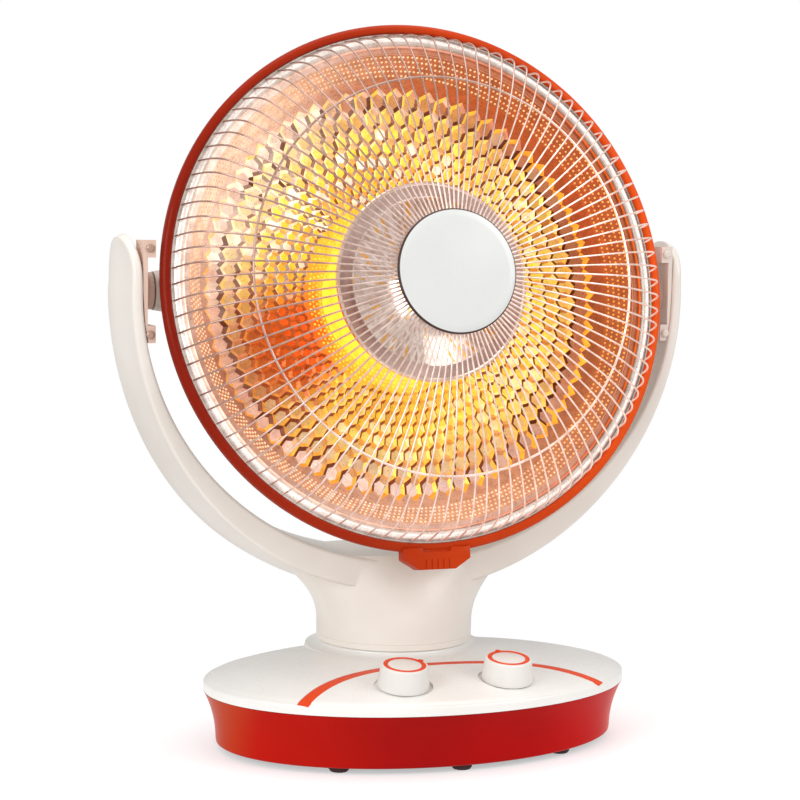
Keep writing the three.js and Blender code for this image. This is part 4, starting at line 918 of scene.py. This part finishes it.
# %% Reflector
bowl_profile = [(26, -73.5), (42, -65), (54, -57), (66, -51), (80, -46), (96, -41), (110, -38.6)]
bowl_profile += [(132.5, -38), (146, -34.5), (148.6, -29), (151.5, -22), (163.4, -4), (164.6, -1.9)]
bowl_profile += [(176.6, -1.5)]
step_radii = (148.8, 151.5)
wall_radii = step_radii + (157.5, 163.4, 164.6, 176.6)
ring_radii = (64, 58, 54, 48, 42, 34, 26)
cells_round, cell_rows, cells_outer = 72, 8, 147.4 * mm
cell_depth, sheet_depth = 1.9 * mm, 0.8 * mm
floor_share, cell_stretch = 0.62, 1.217
half_cell = math.pi / cells_round
cell_rise = 2 * half_cell / math.sqrt(3) * cell_stretch


def bowl_reach(radius):
    for (r1, z1), (r2, z2) in zip(bowl_profile, bowl_profile[1:]):
        if radius <= r2 * mm:
            return (z1 + (z2 - z1) * (radius / mm - r1) / (r2 - r1)) * mm
    return bowl_profile[-1][1] * mm


def bowl_slope(radius):
    return (bowl_reach(radius + 2 * mm) - bowl_reach(radius - 2 * mm)) / (4 * mm)


def bowl_point(radius, angle, push):
    slope = bowl_slope(radius) if push else 0
    stretch = math.hypot(1, slope)
    wide = radius + push * slope / stretch
    return Vector((math.cos(angle) * wide, math.sin(angle) * wide, bowl_reach(radius) - push / stretch))


def cell_corner(level, half_turns, push=0.0):
    return bowl_point(cells_outer * math.exp(-cell_rise * level), half_turns * half_cell, push)


wall_sides = [math.radians(side) for side in (-30, -90, -150, 150, 90, 30)]


# Walls that lean towards the element take its painted reflection (hot), walls that lean away take
# painted shade (dark), and the rest lie between (side).
def wall_kind(side, angle):
    lean = math.cos(side - math.radians(45) * abs(math.sin(angle)))
    return "hot" if lean > 0.45 else "dark" if lean < -0.45 else "side"


def reflector_mesh():
    points, faces, kinds, found = [], [], [], {}
    across = 2 * cells_round

    def corner(level, turns):
        key = (round(level * 2), turns % across)
        if key not in found:
            found[key] = len(points)
            points.append(cell_corner(level, turns))
        return found[key]

    for row in range(cell_rows):
        middle = row * 1.5 + 1
        for i in range(cells_round):
            turns = 2 * i + row % 2
            loop = [(middle - 1, turns), (middle - 0.5, turns - 1), (middle + 0.5, turns - 1)]
            loop += [(middle + 1, turns), (middle + 0.5, turns + 1), (middle - 0.5, turns + 1)]
            rim_loop = [corner(*place) for place in loop]
            floor = []
            for level, turn in loop:
                level, turn = mix(middle, level, floor_share), mix(turns, turn, floor_share)
                floor.append(len(points))
                points.append(cell_corner(level, turn, cell_depth))
            for k in range(6):
                n = (k + 1) % 6
                faces.append((rim_loop[k], rim_loop[n], floor[n], floor[k]))
                kinds.append(wall_kind(wall_sides[k], turns * half_cell))
            faces.append(tuple(floor))
            kinds.append("floor")
    last, shift = cell_rows * 1.5, cell_rows % 2
    outer = [corner(k % 2 / 2, k) for k in range(across)]
    inner = [corner(last + (k + shift) % 2 / 2, k) for k in range(across)]
    for previous, radii in ((outer, wall_radii), (inner, ring_radii)):
        for radius in radii:
            ring = [len(points) + k for k in range(across)]
            points += [bowl_point(radius * mm, k * half_cell, 0) for k in range(across)]
            for k in range(across):
                n = (k + 1) % across
                faces.append((previous[k], previous[n], ring[n], ring[k]))
            kinds += ["step" if radius in step_radii else "sheet"] * across
            previous = ring
    return points, faces, kinds


luck = random.Random(11)
points, faces, kinds = reflector_mesh()
chances = [luck.random() for _ in faces]
reflector = make_object("reflector_bowl", points, faces, lit_sheet, sharp=20, place=front_place)
# Painted shade: the glow of the sheet is dimmed on three sides of the head, and each kind of face glows
# by its own painted share.
dim_sides = ((265, 46, 0.5), (205, 24, 0.35), (28, 26, 0.4))
glow_of = {"hot": 1.4, "side": 1.0, "floor": 0.85, "dark": 0.1, "step": 0.6, "sheet": 0.8}


def bowl_tone(place, looks, number):
    angle = angle_of(place)
    tone = sheet_tone(kinds[number], radius_of(place), angle, chances[number])
    dim = 1
    for middle, width, depth in dim_sides:
        dim -= depth * around(angle, middle, width)
    return (*tone, glow_of[kinds[number]] * dim)


paint(reflector, bowl_tone)
if reflector.data.polygons[0].normal.dot(Vector((0, -1, 0))) < 0:
    reflector.data.flip_normals()
sheet = reflector.modifiers.new("sheet", "SOLIDIFY")
sheet.thickness = sheet_depth
sheet.offset = -1
apply_modifiers(reflector, 20)
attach(reflector, "head_unit")
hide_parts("reflector")
print("reflector cells", cells_round * cell_rows, "faces", len(reflector.data.polygons))


# %% [markdown]
# Rows of small raised dots are pressed into the steep wall of the bowl and round its plain
# ring. Each row is one low dome, repeated by the same tree, which keeps every dot real.

# %% Dots
dot_size, dot_sink = 0.9 * mm, 0.05 * mm


def dot(radius, turns):
    centre = bowl_point(radius, turns, -dot_sink)
    slope = bowl_slope(radius)
    normal = Vector((-slope * math.cos(turns), -slope * math.sin(turns), 1)).normalized()
    side = Vector((-math.sin(turns), math.cos(turns), 0))
    other = normal.cross(side)
    rings = []
    for lift, wide in ((-0.4, 1.0), (0.25, 0.92), (0.6, 0.6), (0.75, 0.2)):
        offsets = [(side * c + other * s) * dot_size * wide for c, s in circle(8)]
        rings.append([centre + offset + normal * dot_size * lift for offset in offsets])
    return rings


# Painted light and reflection on the dots: orange on the right, paler at the bottom and on the upper
# left, and yellow near the middle where they mirror the element.
def dot_tone(place, looks, number):
    angle = angle_of(place)
    near = clamp((100 * mm - radius_of(place)) / (20 * mm))
    tone = blend(tone_of("F8DCAE"), tone_of("F2AE4A"), around(angle, 355, 60))
    tone = blend(tone, tone_of("F4D4C0"), around(angle, 262, 40))
    tone = blend(tone, tone_of("E0BFA4"), around(angle, 148, 36))
    return blend(tone, yellow, near)


dot_rows = [(162.6, 300), (160.2, 300), (157.8, 300), (155.4, 300), (153, 300)]
dot_rows += [(65, 112), (62, 112), (59, 112), (56, 112)]
for number, (radius, count) in enumerate(dot_rows):
    rings = dot(radius * mm, (number % 2) * math.pi / count)
    row = solid(f"dot_row_{number + 1}", rings, lit_sheet, sharp=60)
    repeated(row, count, lit_sheet, front_place, sharp=70)
    paint(row, dot_tone)
    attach(row, "head_unit")
print("dots", sum(count for radius, count in dot_rows))


# %% [markdown]
# The secondary reflector is a small bright dish in front of the element: a raised lip, a flat
# band and a faceted bowl that mirrors what glows round it, partly as true reflection and partly as
# painted reflection and glints. Its rings are turned like the others, but the bowl is pulled flat
# between its facets, which a plain turned shape couldn't show.

# %% Secondary reflector
cap_facets, first_facet_row, last_facet_row = 30, 9, 14
lip_edge, band_edge = 66.3 * mm, 57.9 * mm


def cap_profile():
    profile = [(67.9, 19), (68.9, 19.2), (68.9, 22.4), (68.3, 23.1), (67.2, 23.1)]
    profile += [(66.4, 22.3), (58.6, 22.1), (58, 22.4), (56.8, 21.6)]
    shares = [1 - k / 6 for k in range(7)]
    profile += [(56 * max(share, 0.05), 0.3 + 21 * share**2) for share in shares[1:]]
    profile += [(55 * max(share, 0.05), -0.8 + 21 * share**2) for share in reversed(shares)]
    return profile + [(66, 21.2)]


def make_cap():
    rings = []
    facet, steps = tau / cap_facets, cap_facets * 6
    for row, (radius, reach) in enumerate(cap_profile()):
        faceted = first_facet_row <= row <= last_facet_row
        twist = facet / 2 if row % 2 and faceted else 0
        ring = []
        for i in range(steps):
            angle = i / steps * tau
            wide = radius * mm
            if faceted:
                part = (angle + twist) % facet - facet / 2
                wide = radius * (math.cos(facet / 2) / math.cos(part)) * mm
            ring.append((wide * math.cos(angle), wide * math.sin(angle), reach * mm))
        rings.append(ring)
    return solid("cap_dish", rings, cap_chrome, front_place, sharp=8, looped=True)


# Painted reflections on the cap: a fixed pale tone on the lip, a wave of light and shade round the band,
# and pale facets with a few amber glints of the element in the bowl.
def cap_tone(place, looks, number):
    reach = radius_of(place)
    angle = angle_of(place)
    if reach > lip_edge:
        return blend(blush, pearl, 0.2)
    if reach > band_edge:
        wave = 0.5 + 0.3 * math.sin(3 * angle + 0.6) + 0.3 * around(angle, 80, 50)
        return blend(tone_of("B08A7E"), tone_of("DCCAC2"), wave)
    glint_chance = luck.random()
    tone = blend(tone_of("CDB5A8"), tone_of("F6EEE6"), glint_chance)
    return blend(tone, amber, 0.9 if glint_chance > 0.93 else 0)


cap = make_cap()
paint(cap, cap_tone)
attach(cap, "head_unit")
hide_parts("cap_reflector")
print("cap faces", len(cap.data.polygons))


# %% [markdown]
# The rear housing is one moulded shell with a round shoulder, two bosses for the pivot pins
# and vent slots behind the element. A shallow cover closes its middle. The shoulder is a smooth
# curve through five corners, turned about the axis, since a coarse one shows from behind.

# %% Rear housing
def curve_through(corners, steps=6):
    points = [Vector(corner) for corner in corners]
    ends = [points[0] * 2 - points[1]] + points + [points[-1] * 2 - points[-2]]
    path = []
    for a, b, c, d in zip(ends, ends[1:], ends[2:], ends[3:]):
        for k in range(steps):
            t = k / steps
            lean = (c - a) * t / 2
            bow = (a * 2 - b * 5 + c * 4 - d) * t * t / 2
            sway = (b * 3 - a - c * 3 + d) * t**3 / 2
            path.append(b + lean + bow + sway)
    return path + [points[-1]]


housing_sheet = 2.2
vent_count, vent_inner, vent_outer, vent_half = 12, 72, 90, 1.6
boss_start, boss_end, bore_start, bore_end, bore_radius = 165, 183.6, 173.6, 186, 4.3


def housing_profile():
    outer = curve_through([(176, -5.3), (167.3, -30), (150, -56), (123, -78), (96, -86)])
    inner = []
    for i, point in enumerate(outer):
        along = (outer[min(len(outer) - 1, i + 1)] - outer[max(0, i - 1)]).normalized()
        inner.append(point + Vector((along.y, -along.x)) * housing_sheet)
    profile = [(0, -83.8)] + [tuple(point) for point in reversed(inner)]
    profile += [(164, -5.3), (164, -2.7), (181.2, -2.7), (181.2, -5.3)]
    return profile + [tuple(point) for point in outer] + [(0, -86)]


def side_rod(name, start, end, start_radius, end_radius):
    rings = []
    for x, radius in ((start * mm, start_radius * mm), (end * mm, end_radius * mm)):
        rings.append([(x, radius * c, radius * s - rim_reach) for c, s in circle(64)])
    return solid(name, rings, white, front_place)


def slot_block(angle):
    across = Vector((-math.sin(angle), math.cos(angle)))
    along = Vector((math.cos(angle), math.sin(angle)))
    corners = ((vent_inner, -1), (vent_outer, -1), (vent_outer, 1), (vent_inner, 1))
    outline = [along * radius + across * side * vent_half for radius, side in corners]
    return solid("slot_block", prism(outline, -90, -80), white, front_place)


housing = head_ring("housing_shell", housing_profile(), white, 160)
bosses = [side_rod("boss", side * boss_start, side * boss_end, 16, 13) for side in (-1, 1)]
cut(housing, bosses, "UNION")
bores = [(side * bore_start, side * bore_end) for side in (-1, 1)]
cut(housing, [side_rod("bore", start, end, bore_radius, bore_radius) for start, end in bores])
cut(housing, [slot_block(i / vent_count * tau) for i in range(vent_count)])
cover_profile = [(0, -91.1), (51, -91.1), (55, -90.8), (58, -89.8), (59.6, -88.2), (60, -86.9)]
cover_profile += [(60, -86.2), (0, -86.2)]
rear_cover = head_ring("rear_cover_disc", cover_profile, white, 160)
for piece, node in ((housing, "rear_housing"), (rear_cover, "rear_cover")):
    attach(piece, "head_unit")
    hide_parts(node)
print("housing faces", len(housing.data.polygons))

# %% [markdown]
# The clip that holds the guard is a moulded block under the rim, so a prism with cut slots
# and softened edges is enough. The remaining pieces are mostly hidden and plain, so they keep
# the shapes of the imported model and only take finer finishes.

# %% Clip and finishes for the other pieces
# Clip blocks take the rim's material, so the rim's painted light and shade runs over them too.
def clip_block(name, outline, low, high):
    return solid(name, prism(outline, low, high), rim_orange, front_place)


def make_clip():
    outline = [(-24, -180.4), (-24, -188.4), (-13, -195.4), (13, -195.4), (24, -188.4), (24, -180.4)]
    clip = clip_block("clip_body", outline, -6, 6.4)
    tools = []
    for x in (-8.4, -4.2, 0, 4.2, 8.4):
        slot = [(x - 0.4, -200), (x + 0.4, -200), (x + 0.4, -188.6), (x - 0.4, -188.6)]
        tools.append(clip_block("slot_tool", slot, 5.7, 8))
    notch = [(-10, -183.4), (10, -183.4), (11, -178), (-11, -178)]
    tools.append(clip_block("notch_tool", notch, 3.4, 9))
    cut(clip, tools)
    bevel = clip.modifiers.new("edge", "BEVEL")
    bevel.width = 0.5 * mm
    bevel.segments = 3
    bevel.limit_method = "ANGLE"
    return apply_modifiers(clip)


clip = make_clip()
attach(clip, "head_unit")
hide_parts("guard_clip")

finishes = {
    white: ["hub_clamp"],
    hot_core: ["element_core"],
    hot_wire: ["heating_coil"],
    ceramic: ["element_socket"],
    casting: ["ballast_weight"],
    grey: ["tip_plunger"],
    black: ["base_plate", "heat_switch", "timer_unit", "tip_switch", "cord_inlet"],
    nylon: ["terminal_block", "swivel_washer"],
    steel: ["swivel_tube", "swivel_retainer", "heat_spindle", "timer_spindle"],
    pin_steel: ["pivot_pin_left", "pivot_pin_right"],
    bracket_beige: ["pivot_bracket_left"],
    screw_beige: ["bracket_screw_left_lower", "bracket_screw_left_upper"],
    bracket_pale: ["pivot_bracket_right", "bracket_screw_right_lower", "bracket_screw_right_upper"],
    rubber_dark: [f"foot_{number}" for number in range(1, 9)],
}
finishes[steel] += [f"plate_screw_{number}" for number in range(1, 5)]
for material, names in finishes.items():
    for name in names:
        if not nodes[name].data.materials:
            nodes[name].data.materials.append(material)
        for slot in nodes[name].material_slots:
            slot.material = material
print("finishes", sum(len(names) for names in finishes.values()))

# %% [markdown]
# The stage is a pale floor in a white studio, as in a catalogue picture: large soft lights
# left, right and above, and a world that the camera sees as plain white. The floor fades out
# towards its edge, so that only the shade round the base is seen.

# %% Stage and lights
def area_light(name, place, size, power):
    data = bpy.data.lights.new(name, "AREA")
    data.shape = "RECTANGLE"
    data.size, data.size_y = size
    data.energy = power
    light = bpy.data.objects.new(name, data)
    scene.collection.objects.link(light)
    light.location = place
    light.rotation_mode = "QUATERNION"
    light.rotation_quaternion = (light_aim - Vector(place)).to_track_quat("-Z", "Y")


light_aim = Vector((0, 0, 0.25))
area_light("key_right", (1.5, -1.5, 1.3), (1.0, 1.2), 17)
area_light("fill_left", (-1.9, -1.1, 0.9), (1.2, 1.4), 26)
area_light("top", (0, 0.1, 1.9), (1.6, 1.6), 15)
area_light("front_low", (-0.3, -2.2, 0.25), (1.6, 0.5), 3)

world = bpy.data.worlds.new("studio")
scene.world = world
world.use_nodes = True
tree = world.node_tree
seen = add(tree, "ShaderNodeLightPath").outputs["Is Camera Ray"]
level = add(tree, "ShaderNodeMapRange", Value=seen, To_Min=0.62, To_Max=1.0)
set_inputs(tree.nodes["Background"], Color=(1, 1, 1, 1), Strength=level.outputs["Result"])


def floor_material():
    material, tree, shader, coords = start_material("floor")
    set_inputs(shader, Base_Color=(0.6, 0.6, 0.6, 1), Roughness=0.6, Specular_IOR_Level=0.1)
    set_inputs(shader, Emission_Color=(1, 1, 1, 1), Emission_Strength=0.45)
    away = add(tree, "ShaderNodeVectorMath", {"operation": "LENGTH"})
    tree.links.new(coords, away.inputs[0])
    fade = spread(tree, away.outputs["Value"], 0, 1, 0.14, 0.42)
    mixer = add(tree, "ShaderNodeMixShader", Fac=fade)
    tree.links.new(shader.outputs[0], mixer.inputs[1])
    tree.links.new(add(tree, "ShaderNodeBsdfTransparent").outputs[0], mixer.inputs[2])
    set_inputs(tree.nodes["Material Output"], Surface=mixer.outputs[0])
    return material


floor_rings = [(0, 0), (0.6, 0), (0.6, -0.001), (0, -0.001)]
floor = make_object("floor", *turned(floor_rings, 96), floor_material())
print("lights", len(bpy.data.lights))
